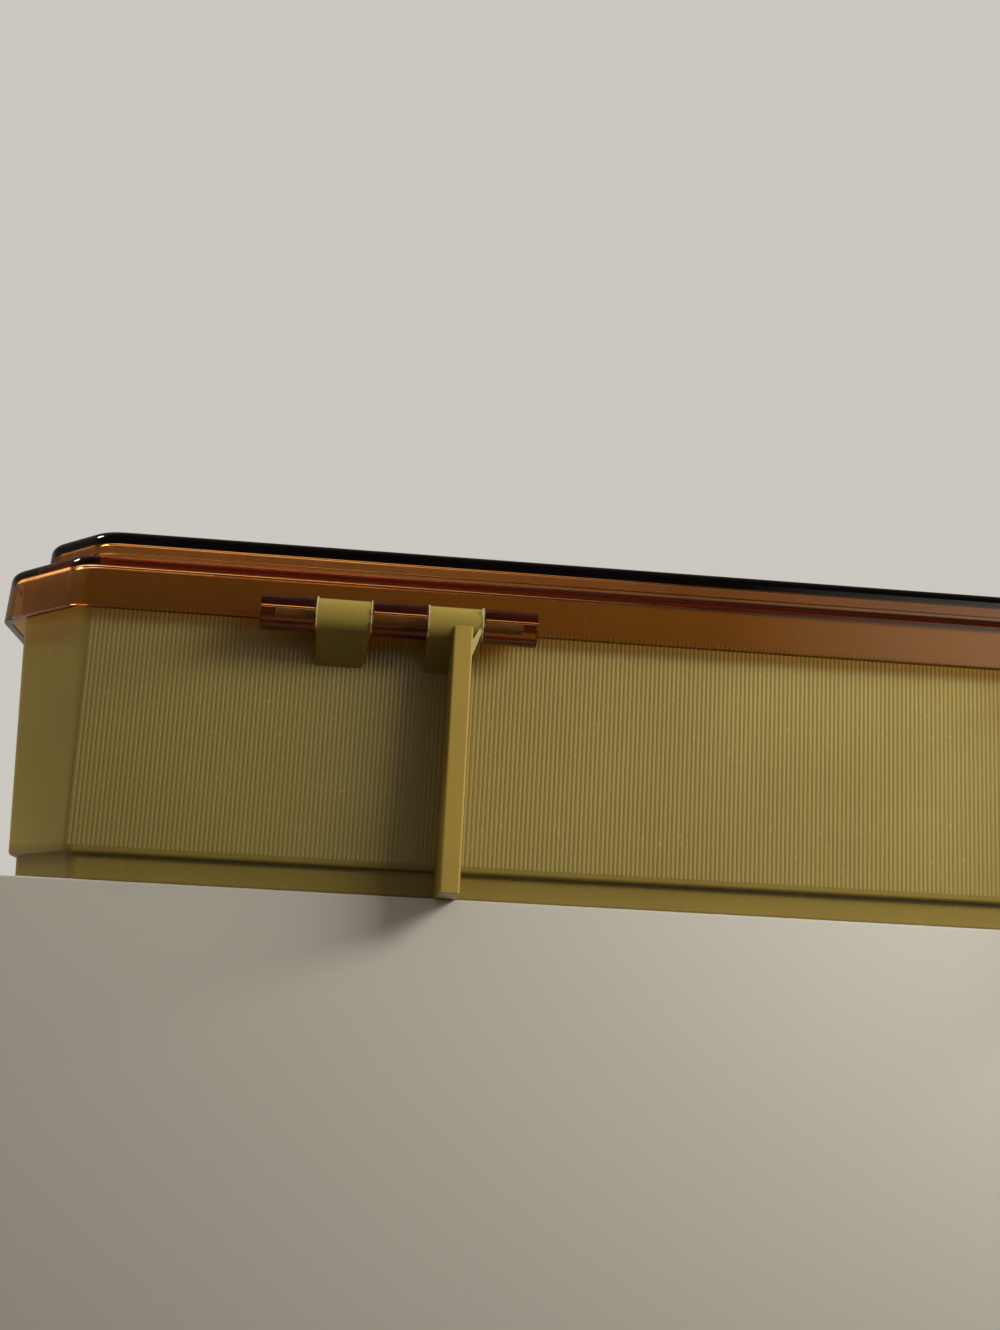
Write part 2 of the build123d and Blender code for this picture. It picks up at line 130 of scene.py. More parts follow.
def rounded(points: Sequence[Point], radii: Sequence[float], steps: int, closed: bool = True) -> list[Point]:
    """Round the corners of a path with arcs.

    Args:
        points: The path's corners.
        radii: One radius for each corner; 0 keeps it sharp.
        steps: Straight steps in each arc.
        closed: Whether the path closes on itself.

    Returns:
        The points of the rounded path.
    """
    count = len(points)
    path: list[Point] = []
    for index, (corner, radius) in enumerate(zip(points, radii)):
        if radius <= 0 or (not closed and index in (0, count - 1)):
            path.append(tuple(corner))
            continue
        here = Vector(corner)
        back = Vector(points[index - 1]) - here
        ahead = Vector(points[(index + 1) % count]) - here
        half = back.angle(ahead) / 2
        reach = min(radius / math.tan(half), SIDE_SHARE * min(back.length, ahead.length))
        round_off = reach * math.tan(half)
        centre = here + (back.normalized() + ahead.normalized()).normalized() * (round_off / math.sin(half))
        first = here + back.normalized() * reach - centre
        last = here + ahead.normalized() * reach - centre
        start = math.atan2(first.y, first.x)
        turn = math.remainder(math.atan2(last.y, last.x) - start, math.tau)
        for step in range(steps + 1):
            angle = start + turn * step / steps
            path.append((centre.x + round_off * math.cos(angle), centre.y + round_off * math.sin(angle)))
    return path


def arc(centre: Point, radius: float, start: float, end: float, steps: int) -> list[Point]:
    """Points of an arc.

    Args:
        centre: Centre of the arc.
        radius: Its radius.
        start: First angle in degrees.
        end: Last angle in degrees.
        steps: Straight steps along it.

    Returns:
        The points from start to end, both included.
    """
    angles = [math.radians(start + (end - start) * step / steps) for step in range(steps + 1)]
    return [(centre[0] + radius * math.cos(a), centre[1] + radius * math.sin(a)) for a in angles]


def eye(centre: Point, radius: float) -> list[Point]:
    """Round front of an ear, open towards the wall that carries it."""
    return arc(centre, radius, *EYE_TURN, EYE_STEPS)


def grown(outline: Sequence[Point], grow: float) -> list[Point]:
    """Move every side of an anticlockwise outline outwards.

    Args:
        outline: The outline's corners.
        grow: How far each side moves out; negative moves it in.

    Returns:
        The corners of the new outline.
    """
    count = len(outline)
    moved: list[Point] = []
    for index in range(count):
        here = Vector(outline[index])
        into = (here - Vector(outline[index - 1])).normalized()
        onward = (Vector(outline[(index + 1) % count]) - here).normalized()
        first = Vector((into.y, -into.x))
        second = Vector((onward.y, -onward.x))
        moved.append(tuple(here + (first + second) * (grow / (1 + first.dot(second)))))
    return moved


def skinned(rings: Sequence[Sequence[Place]]) -> Solid:
    """Join rings of equal count into one closed skin, flat at both ends.

    Args:
        rings: The rings in order, each with its points in millimetres.

    Returns:
        The skin's points and faces.
    """
    count = len(rings[0])
    points = [point for ring in rings for point in ring]
    faces: list[tuple[int, ...]] = []
    for low in range(0, len(points) - count, count):
        for step in range(count):
            after = (step + 1) % count
            faces.append((low + step, low + after, low + count + after, low + count + step))
    faces.append(tuple(reversed(range(count))))
    faces.append(tuple(range(len(points) - count, len(points))))
    return points, faces


def bar(section: Sequence[Point], low: float, high: float, run: Run, edge: float = 0.25) -> Solid:
    """Push a section out into a bar with softened ends.

    Args:
        section: Outline of the section: (y, z) along X, (x, z) along Y, (x, y) along Z.
        low: Where the bar starts.
        high: Where it ends.
        run: The way it runs.
        edge: Size of the softened edge at each end.

    Returns:
        The bar's points and faces.
    """
    outline = list(section) if area(section) > 0 else list(reversed(section))
    near = EDGE_SHARE * edge
    levels = [(low, -edge), (low + near, -near), (low + edge, 0.0)]
    levels += [(high - edge, 0.0), (high - near, -near), (high, -edge)]
    if edge <= 0:
        levels = [(low, 0.0), (high, 0.0)]
    rings = []
    for place, inset in levels:
        ring = grown(outline, inset) if inset else outline
        if run is Run.ALONG_X:
            rings.append([(place, u, v) for u, v in ring])
        elif run is Run.ALONG_Y:
            rings.append([(u, place, v) for u, v in ring])
        else:
            rings.append([(u, v, place) for u, v in ring])
    return skinned(rings)


def rod(low: float, high: float, y: float, z: float, radius: float, steps: int = 36,
        edge: float = 0.2) -> Solid:
    """Round bar along X with softened ends."""
    circle = arc((y, z), radius, 0.0, 360.0, steps)[:-1]
    return bar(circle, low, high, Run.ALONG_X, edge)


def make_piece(name: str, solids: Iterable[Solid], material: Material) -> Piece:
    """Make one object from closed solids in millimetres.

    Args:
        name: Name of the piece.
        solids: Its solids, each a list of points and a list of faces.
        material: Its finish.

    Returns:
        The new object, its place in its mesh.
    """
    joined = bmesh.new()
    for points, faces in solids:
        corners = [joined.verts.new(Vector(point) * MM) for point in points]
        for face in faces:
            joined.faces.new([corners[index] for index in face])
    bmesh.ops.recalc_face_normals(joined, faces=joined.faces)
    mesh = bpy.data.meshes.new(name)
    joined.to_mesh(mesh)
    joined.free()
    finish_mesh(mesh, material)
    piece = bpy.data.objects.new(name, mesh)
    bpy.context.scene.collection.objects.link(piece)
    return piece


def finish_mesh(mesh: bpy.types.Mesh, material: Material) -> None:
    """Shade a mesh smooth across its gentle edges and give it one finish.

    Args:
        mesh: The mesh to finish.
        material: Its only material.
    """
    mesh.materials.clear()
    mesh.materials.append(material)
    mesh.shade_smooth()
    mesh.set_sharp_from_angle(angle=SMOOTH_ANGLE)


def even_out(piece: Piece) -> None:
    """Let the large faces set the shading, so that flat panels read flat up to their rounded edges.

    Args:
        piece: The piece, shaded smooth with its sharp edges marked.
    """
    step = piece.modifiers.new("even_out", "WEIGHTED_NORMAL")
    step.keep_sharp = True
    step.weight = FLAT_FIRST
    settle(piece)


def settle(piece: Piece) -> None:
    """Turn a piece's evaluated shape into its plain mesh and clear its modifiers.

    Args:
        piece: The piece with live modifiers.
    """
    graph = bpy.context.evaluated_depsgraph_get()
    mesh = bpy.data.meshes.new_from_object(piece.evaluated_get(graph), depsgraph=graph)
    piece.modifiers.clear()
    old = piece.data
    piece.data = mesh
    bpy.data.meshes.remove(old)
    mesh.name = piece.name


def combine(piece: Piece, other: Piece, operation: str) -> None:
    """Join another closed piece to this one or cut it away, then drop the other.

    Args:
        piece: The piece that stays.
        other: The piece that is used up.
        operation: UNION or DIFFERENCE.
    """
    step = piece.modifiers.new("combine", "BOOLEAN")
    step.operation = operation
    step.solver = "EXACT"
    step.object = other
    settle(piece)
    spent = other.data
    bpy.data.objects.remove(other)
    bpy.data.meshes.remove(spent)


class NodeBench:
    """Adds and joins the nodes of one tree."""

    def __init__(self, tree: bpy.types.NodeTree) -> None:
        """Start from an empty tree.

        Args:
            tree: The node tree of a material, a world or a modifier.
        """
        self.tree = tree
        self.nodes = tree.nodes
        self.links = tree.links
        self.nodes.clear()

    def node(self, kind: str, inputs: dict | None = None, **settings: object) -> bpy.types.Node:
        """Add a node.

        Args:
            kind: Blender's name of the node type.
            inputs: Values or sockets for its inputs, by name or number.
            **settings: Its own properties.

        Returns:
            The new node.
        """
        made = self.nodes.new(kind)
        for key, value in settings.items():
            setattr(made, key, value)
        for key, value in (inputs or {}).items():
            if isinstance(value, Socket):
                self.links.new(value, made.inputs[key])
            else:
                made.inputs[key].default_value = value
        return made

    def ramp(self, factor: Socket, low: float, high: float, out_low: float, out_high: float) -> Socket:
        """Map a factor from one range to another, held at the ends."""
        inputs = {"Value": factor, "From Min": low, "From Max": high, "To Min": out_low, "To Max": out_high}
        return self.node("ShaderNodeMapRange", inputs).outputs["Result"]

    def math(self, operation: str, first: object, second: object, third: object = 0.0) -> Socket:
        """Result of one Math step on values or sockets."""
        return self.node("ShaderNodeMath", {0: first, 1: second, 2: third}, operation=operation).outputs[0]


class ShaderBench(NodeBench):
    """Adds and joins the nodes of one material."""

    def __init__(self, name: str) -> None:
        """Start an empty material.

        Args:
            name: Name of the material.
        """
        self.material = bpy.data.materials.new(name)
        self.material.use_nodes = True
        super().__init__(self.material.node_tree)
        self.output = self.nodes.new("ShaderNodeOutputMaterial")
        self.place = self.nodes.new("ShaderNodeTexCoord").outputs["Object"]

    def noise(self, scale: float, detail: float = 2.0, stretch: Sequence[float] = (1.0, 1.0, 1.0)) -> Socket:
        """Noise on the object's own coordinates.

        Args:
            scale: Cells per metre.
            detail: How many finer layers it has.
            stretch: Scale along each axis; a small one draws the pattern out.

        Returns:
            The noise, from 0 to 1.
        """
        spread = self.node("ShaderNodeMapping", {"Vector": self.place, "Scale": stretch})
        inputs = {"Vector": spread.outputs["Vector"], "Scale": scale, "Detail": detail}
        return self.node("ShaderNodeTexNoise", inputs).outputs["Fac"]

    def blend(self, factor: Socket | float, first: object, second: object) -> Socket:
        """Mix two colours, each a value or a socket."""
        inputs = {"Factor": factor, 6: first, 7: second}
        return self.node("ShaderNodeMix", inputs, data_type="RGBA").outputs[2]

    def bump(self, height: Socket, distance: float, strength: float = 1.0) -> Socket:
        """Normal from a height, `distance` in millimetres."""
        inputs = {"Height": height, "Distance": distance * MM, "Strength": strength}
        return self.node("ShaderNodeBump", inputs).outputs["Normal"]

    def surface(self, shader: Socket) -> Material:
        """Put a shader on the surface and hand the material back."""
        self.links.new(shader, self.output.inputs["Surface"])
        return self.material


@dataclass(frozen=True)
class MouldedPlastic:
    """Opaque moulded styrene: two close tones, a fine bloom, specks and hairline scratches, and, where asked
    for, painted shade that darkens it towards the foot.
    """

    name: str
    tone: Place
    shade: Place
    speck: Place
    roughness: float = 0.33
    gloss: float = 0.5
    # Painted shade near the foot: the share of colour kept at the bottom, the height up to which it is fully
    # darkened, and how far above that it fades out.
    foot_shade: float = 1.0
    foot_top: float = 7.0
    foot_fade: float = 1.5
    mottle_scale: float = 26.0
    speck_scale: float = 900.0
    speck_cover: float = 0.35
    scratch_scale: float = 260.0
    bloom_scale: float = 60.0
    skin_scale: float = 2600.0
    skin_depth: float = 0.012
    skin_strength: float = 0.6
    mottle_band: Point = (0.35, 0.68)
    speck_band: Point = (0.70, 0.76)
    bloom_band: Point = (0.2, 0.8)
    bloom_less: float = 0.02
    bloom_more: float = 0.04
    refraction: float = 1.5

    def build(self) -> Material:
        """Build the material.

        Returns:
            The new material.
        """
        bench = ShaderBench(self.name)
        mottle = bench.ramp(bench.noise(self.mottle_scale, 4.0), *self.mottle_band, 0.0, 1.0)
        tone = bench.blend(mottle, (*self.shade, 1.0), (*self.tone, 1.0))
        grit = bench.noise(self.speck_scale, 1.0)
        specks = bench.ramp(grit, *self.speck_band, 0.0, self.speck_cover)
        colour = bench.blend(specks, tone, (*self.speck, 1.0))
        # Painted shade: below the foot's top the colour is darkened towards black, fading out just above it.
        if self.foot_shade < 1.0:
            height = bench.node("ShaderNodeSeparateXYZ", {0: bench.place}).outputs["Z"]
            low, high = self.foot_top * MM, (self.foot_top + self.foot_fade) * MM
            painted_shade_near_foot = bench.ramp(height, low, high, 1.0 - self.foot_shade, 0.0)
            colour = bench.blend(painted_shade_near_foot, colour, (0.0, 0.0, 0.0, 1.0))
        scratches = bench.noise(self.scratch_scale, 3.0, (1.0, 1.0, 0.06))
        cloud = bench.noise(self.bloom_scale)
        dull, dullest = self.roughness - self.bloom_less, self.roughness + self.bloom_more
        bloom = bench.ramp(cloud, *self.bloom_band, dull, dullest)
        relief = bench.math("ADD", bench.noise(self.skin_scale, 1.0), scratches)
        inputs = {
            "Base Color": colour,
            "Roughness": bloom,
            "IOR": self.refraction,
            "Specular IOR Level": self.gloss,
            "Normal": bench.bump(relief, self.skin_depth, self.skin_strength),
        }
        return bench.surface(bench.node("ShaderNodeBsdfPrincipled", inputs).outputs[0])


@dataclass(frozen=True)
class TintedStyrene:
    """Transparent tinted styrene whose colour deepens with the thickness of plastic looked through."""

    name: str
    absorbed: Place
    density: float
    shadow_tint: Place
    polish: float = 0.04
    cloud_scale: float = 120.0
    ripple_scale: float = 45.0
    ripple_depth: float = 0.05
    ripple_strength: float = 0.35
    cloud_band: Point = (0.35, 0.75)
    cloud_dulling: float = 0.07
    refraction: float = 1.58

    def build(self) -> Material:
        """Build the material.

        Returns:
            The new material.
        """
        bench = ShaderBench(self.name)
        haze = bench.noise(self.cloud_scale, 4.0)
        cloud = bench.ramp(haze, *self.cloud_band, self.polish, self.polish + self.cloud_dulling)
        ripple = bench.noise(self.ripple_scale)
        inputs = {
            "Base Color": (1.0, 1.0, 1.0, 1.0),
            "Roughness": cloud,
            "IOR": self.refraction,
            "Transmission Weight": 1.0,
            "Normal": bench.bump(ripple, self.ripple_depth, self.ripple_strength),
        }
        clear = bench.node("ShaderNodeBsdfPrincipled", inputs).outputs[0]
        window = bench.node("ShaderNodeBsdfTransparent", {"Color": (*self.shadow_tint, 1.0)}).outputs[0]
        lamp_ray = bench.node("ShaderNodeLightPath").outputs["Is Shadow Ray"]
        mixed = bench.node("ShaderNodeMixShader", {0: lamp_ray, 1: clear, 2: window}).outputs[0]
        tint = {"Color": (*self.absorbed, 1.0), "Density": self.density}
        body = bench.node("ShaderNodeVolumeAbsorption", tint).outputs[0]
        bench.links.new(body, bench.output.inputs["Volume"])
        return bench.surface(mixed)


@dataclass(frozen=True)
class DrawnSteel:
    """Drawn steel wire, scratched round its length."""

    name: str
    tone: Place = (0.58, 0.62, 0.50)
    line_tone: Place = (0.30, 0.31, 0.25)
    roughness: float = 0.30
    line_scale: float = 900.0
    line_cover: float = 0.4
    line_depth: float = 0.01
    metal: float = 0.6

    def build(self) -> Material:
        """Build the material.

        Returns:
            The new material.
        """
        bench = ShaderBench(self.name)
        lines = bench.noise(self.line_scale, 4.0, (0.05, 1.0, 1.0))
        shade = bench.ramp(lines, 0.4, 0.7, 0.0, self.line_cover)
        inputs = {
            "Base Color": bench.blend(shade, (*self.tone, 1.0), (*self.line_tone, 1.0)),
            "Metallic": self.metal,
            "Roughness": bench.ramp(lines, 0.3, 0.7, self.roughness - 0.08, self.roughness + 0.12),
            "Normal": bench.bump(lines, self.line_depth, 0.5),
        }
        return bench.surface(bench.node("ShaderNodeBsdfPrincipled", inputs).outputs[0])


@dataclass(frozen=True)
class PaintedBoard:
    """Plain pale board that the box stands on."""

    name: str
    tone: Place
    roughness: float = 0.8

    def build(self) -> Material:
        """Build the material.

        Returns:
            The new material.
        """
        bench = ShaderBench(self.name)
        inputs = {"Base Color": (*self.tone, 1.0), "Roughness": self.roughness}
        return bench.surface(bench.node("ShaderNodeBsdfPrincipled", inputs).outputs[0])


@dataclass(frozen=True)
class Finishes:
    """Every finish of the box, built once."""

    olive: Material
    shell: Material
    leg: Material
    fluted: Material
    flash: Material
    amber: Material
    tray: Material
    divider: Material
    steel: Material

    @staticmethod
    def build() -> "Finishes":
        """Build the nine finishes.

        Returns:
            The set of finishes.
        """
        olive = MouldedPlastic("olive_styrene", (0.332, 0.244, 0.052), (0.304, 0.222, 0.046),
                               (0.50, 0.38, 0.16))
        # The shell is olive with painted shade that darkens it towards the foot band, standing in for the
        # shade that falls there.
        shell = replace(olive, name="shell_styrene", foot_shade=0.72)
        # The leg's tone is a little warmer than olive, and it is also brighter: the extra brightness is
        # painted light for the light its face catches.
        leg = MouldedPlastic("leg_styrene", (0.395, 0.272, 0.058), (0.365, 0.250, 0.052), (0.52, 0.42, 0.20))
        # The fluted walls take a darker, greyer copy of olive: painted shade for the grooves and painted
        # sheen.
        fluted = MouldedPlastic("fluted_styrene", (0.290, 0.224, 0.060), (0.265, 0.204, 0.053),
                                (0.48, 0.40, 0.20), roughness=0.28, gloss=0.8)
        # The flash fins are real, but their tone, much paler than olive, is a painted highlight along the
        # knuckles' edges.
        flash = MouldedPlastic("flash_styrene", (0.58, 0.48, 0.24), (0.46, 0.37, 0.16), (0.75, 0.68, 0.50),
                               roughness=0.4)
        amber = TintedStyrene("amber_styrene", (0.817, 0.550, 0.167), 600.0, (0.84, 0.87, 0.90))
        tray = MouldedPlastic("tray_styrene", (0.300, 0.240, 0.085), (0.270, 0.212, 0.072),
                              (0.42, 0.36, 0.20), roughness=0.42)
        divider = MouldedPlastic("divider_styrene", (0.62, 0.55, 0.38), (0.57, 0.50, 0.33),
                                 (0.40, 0.34, 0.20), roughness=0.40)
        finishes = (olive, shell, leg, fluted, flash, amber, tray, divider, DrawnSteel("drawn_steel"))
        return Finishes(*(finish.build() for finish in finishes))


class TreeBench(NodeBench):
    """Adds and joins the nodes of one geometry tree."""

    def __init__(self, name: str) -> None:
        """Start a tree that makes its own geometry.

        Args:
            name: Name of the tree.
        """
        super().__init__(bpy.data.node_groups.new(name, "GeometryNodeTree"))
        for way in ("INPUT", "OUTPUT"):
            self.tree.interface.new_socket("Geometry", in_out=way, socket_type="NodeSocketGeometry")
        self.source = self.nodes.new("NodeGroupInput")
        self.sink = self.nodes.new("NodeGroupOutput")

    def size(self, name: str, kind: str = "NodeSocketFloat") -> Socket:
        """Add a named input to the tree and return its socket inside it."""
        self.tree.interface.new_socket(name, in_out="INPUT", socket_type=kind)
        return self.source.outputs[name]

    def vector(self, x: object = 0.0, y: object = 0.0, z: object = 0.0) -> Socket:
        """A vector from three values or sockets."""
        return self.node("ShaderNodeCombineXYZ", {"X": x, "Y": y, "Z": z}).outputs[0]

    def close(self, geometry: Socket, material: Socket) -> bpy.types.NodeTree:
        """Realize the instances, set their material and end the tree.

        Args:
            geometry: The finished instances.
            material: The material that they all take.

        Returns:
            The tree.
        """
        real = self.node("GeometryNodeRealizeInstances", {"Geometry": geometry}).outputs[0]
        dressed = self.node("GeometryNodeSetMaterial", {"Geometry": real, "Material": material}).outputs[0]
        self.links.new(dressed, self.sink.inputs[0])
        return self.tree


def grow_piece(name: str, tree: bpy.types.NodeTree, values: dict[str, object]) -> Piece:
    """Run a geometry tree once and keep its result as a plain mesh.

    Args:
        name: Name of the piece.
        tree: The geometry tree.
        values: The tree's inputs by name, lengths in metres.

    Returns:
        The new object.
    """
    piece = bpy.data.objects.new(name, bpy.data.meshes.new(name))
    bpy.context.scene.collection.objects.link(piece)
    grower = piece.modifiers.new("grow", "NODES")
    grower.node_group = tree
    sockets = {item.name: item.identifier for item in tree.interface.items_tree if item.in_out == "INPUT"}
    for key, value in values.items():
        grower[sockets[key]] = value
    settle(piece)
    piece.data.shade_smooth()
    piece.data.set_sharp_from_angle(angle=RIB_SMOOTH_ANGLE)
    return piece


def flute_tree() -> bpy.types.NodeTree:
    """Geometry tree for a row of upright beads on a leaning wall.

    Returns:
        The tree, with the beads' sizes as its inputs.
    """
    bench = TreeBench("flute_row")
    count = bench.size("Count", "NodeSocketInt")
    pitch = bench.size("Pitch")
    foot = bench.size("Foot")
    top = bench.size("Top")
    foot_out = bench.size("Foot Out")
    top_out = bench.size("Top Out")
    radius = bench.size("Bead Radius")
    reach = bench.size("Bead Half Angle")
    turn = bench.size("Turn")
    material = bench.size("Material", "NodeSocketMaterial")
    ends = {"Start": bench.vector(0.0, foot_out, foot), "End": bench.vector(0.0, top_out, top)}
    spine = bench.node("GeometryNodeCurvePrimitiveLine", ends).outputs[0]
    first = bench.math("SUBTRACT", math.pi / 2, reach)
    sweep = bench.math("MULTIPLY", reach, 2.0)
    arc_inputs = {"Resolution": BEAD_POINTS, "Radius": radius, "Start Angle": first, "Sweep Angle": sweep}
    crest = bench.node("GeometryNodeCurveArc", arc_inputs).outputs[0]
    profile = bench.node("GeometryNodeSetSplineCyclic", {"Geometry": crest, "Cyclic": True}).outputs[0]
    bead_inputs = {"Curve": spine, "Profile Curve": profile, "Fill Caps": True}
    bead = bench.node("GeometryNodeCurveToMesh", bead_inputs).outputs[0]
    gaps = bench.math("SUBTRACT", count, 1.0)
    start = bench.math("MULTIPLY", bench.math("MULTIPLY", gaps, pitch), -0.5)
    row_inputs = {"Count": count, "Start Location": bench.vector(start), "Offset": bench.vector(pitch)}
    row = bench.node("GeometryNodeMeshLine", row_inputs).outputs[0]
    beads = bench.node("GeometryNodeInstanceOnPoints", {"Points": row, "Instance": bead}).outputs[0]
    turn_inputs = {"Geometry": beads, "Rotation": bench.vector(0.0, 0.0, turn)}
    turned = bench.node("GeometryNodeTransform", turn_inputs).outputs[0]
    return bench.close(turned, material)


def slot_tree() -> bpy.types.NodeTree:
    """Geometry tree for the pairs of slot ribs along both walls of a tray lane.

    Returns:
        The tree, with the ribs' sizes as its inputs.
    """
    bench = TreeBench("slot_ribs")
    count = bench.size("Count", "NodeSocketInt")
    pitch = bench.size("Pitch")
    gap = bench.size("Gap")
    thickness = bench.size("Thickness")
    depth = bench.size("Depth")
    height = bench.size("Height")
    low_wall = bench.size("Low Wall")
    high_wall = bench.size("High Wall")
    foot = bench.size("Foot")
    material = bench.size("Material", "NodeSocketMaterial")
    rib = bench.node("GeometryNodeMeshCube", {"Size": bench.vector(depth, thickness, height)}).outputs[0]
    middle = bench.math("ADD", foot, bench.math("MULTIPLY", height, 0.5))
    half_depth = bench.math("MULTIPLY", depth, 0.5)
    aside = bench.math("MULTIPLY", bench.math("ADD", gap, thickness), 0.5)
    joined = bench.node("GeometryNodeJoinGeometry")
    for x in (bench.math("ADD", low_wall, half_depth), bench.math("SUBTRACT", high_wall, half_depth)):
        for way in (-1.0, 1.0):
            place = bench.vector(x, bench.math("MULTIPLY", aside, way), middle)
            moved = bench.node("GeometryNodeTransform", {"Geometry": rib, "Translation": place}).outputs[0]
            bench.links.new(moved, joined.inputs[0])
    gaps = bench.math("SUBTRACT", count, 1.0)
    start = bench.math("MULTIPLY", bench.math("MULTIPLY", gaps, pitch), -0.5)
    first, step = bench.vector(0.0, start), bench.vector(0.0, pitch)
    row_inputs = {"Count": count, "Start Location": first, "Offset": step}
    row = bench.node("GeometryNodeMeshLine", row_inputs).outputs[0]
    set_inputs = {"Points": row, "Instance": joined.outputs[0]}
    ribs = bench.node("GeometryNodeInstanceOnPoints", set_inputs).outputs[0]
    return bench.close(ribs, material)


@dataclass(frozen=True)
class BoxOutline:
    """Plan of the box at the height of the lid's lower edge, shared by tub, lid and trays."""

    length: float = 362.0
    depth: float = 236.0
    corner: float = 17.5
    edge_z: float = 59.8
    draft: float = 2.7
    flare: float = 3.0
    corner_steps: int = 6

    @property
    def half_x(self) -> float:
        """Half the length."""
        return self.length / 2

    @property
    def half_y(self) -> float:
        """Half the depth."""
        return self.depth / 2

    def wall(self, z: float) -> float:
        """How far the tub's wall stands outside this plan at height z."""
        return math.tan(math.radians(self.draft)) * (z - self.edge_z)

    def lean_in(self, z: float) -> float:
        """How far the lid's sides have leaned in at height z."""
        return math.tan(math.radians(self.flare)) * (z - self.edge_z)

    def corners(self) -> list[Point]:
        """The eight corners of the plan, anticlockwise.

        Returns:
            The corners as x and y.
        """
        x, y, cut = self.half_x, self.half_y, self.corner
        return [(x - cut, -y), (x, cut - y), (x, y - cut), (x - cut, y),
                (cut - x, y), (-x, y - cut), (-x, cut - y), (cut - x, -y)]

    def shell(self, levels: Sequence[tuple[float, float, float, float]], plan: Sequence[Point] | None = None,
              steps: int = 5) -> Solid:
        """Skin a closed shell through the corners of its wall section.

        Args:
            levels: Corners of the wall section: how far out, height, section radius and plan radius.
            plan: Plan to use in place of this one.
            steps: Straight steps in each rounding of the section.

        Returns:
            The shell's points and faces.
        """
        corners_of_wall = [(out, z) for out, z, _, _ in levels]
        section = rounded(corners_of_wall, [turn for _, _, turn, _ in levels], steps, closed=False)
        bends = [levels[0][3]]
        for _, _, turn, bend in levels[1:-1]:
            bends += [bend] * (steps + 1 if turn > 0 else 1)
        bends.append(levels[-1][3])
        corners = list(plan or self.corners())
        rings = []
        for (out, z), bend in zip(section, bends):
            ring = rounded(grown(corners, out), [bend] * len(corners), self.corner_steps)
            rings.append([(x, y, z) for x, y in ring])
        return skinned(rings)


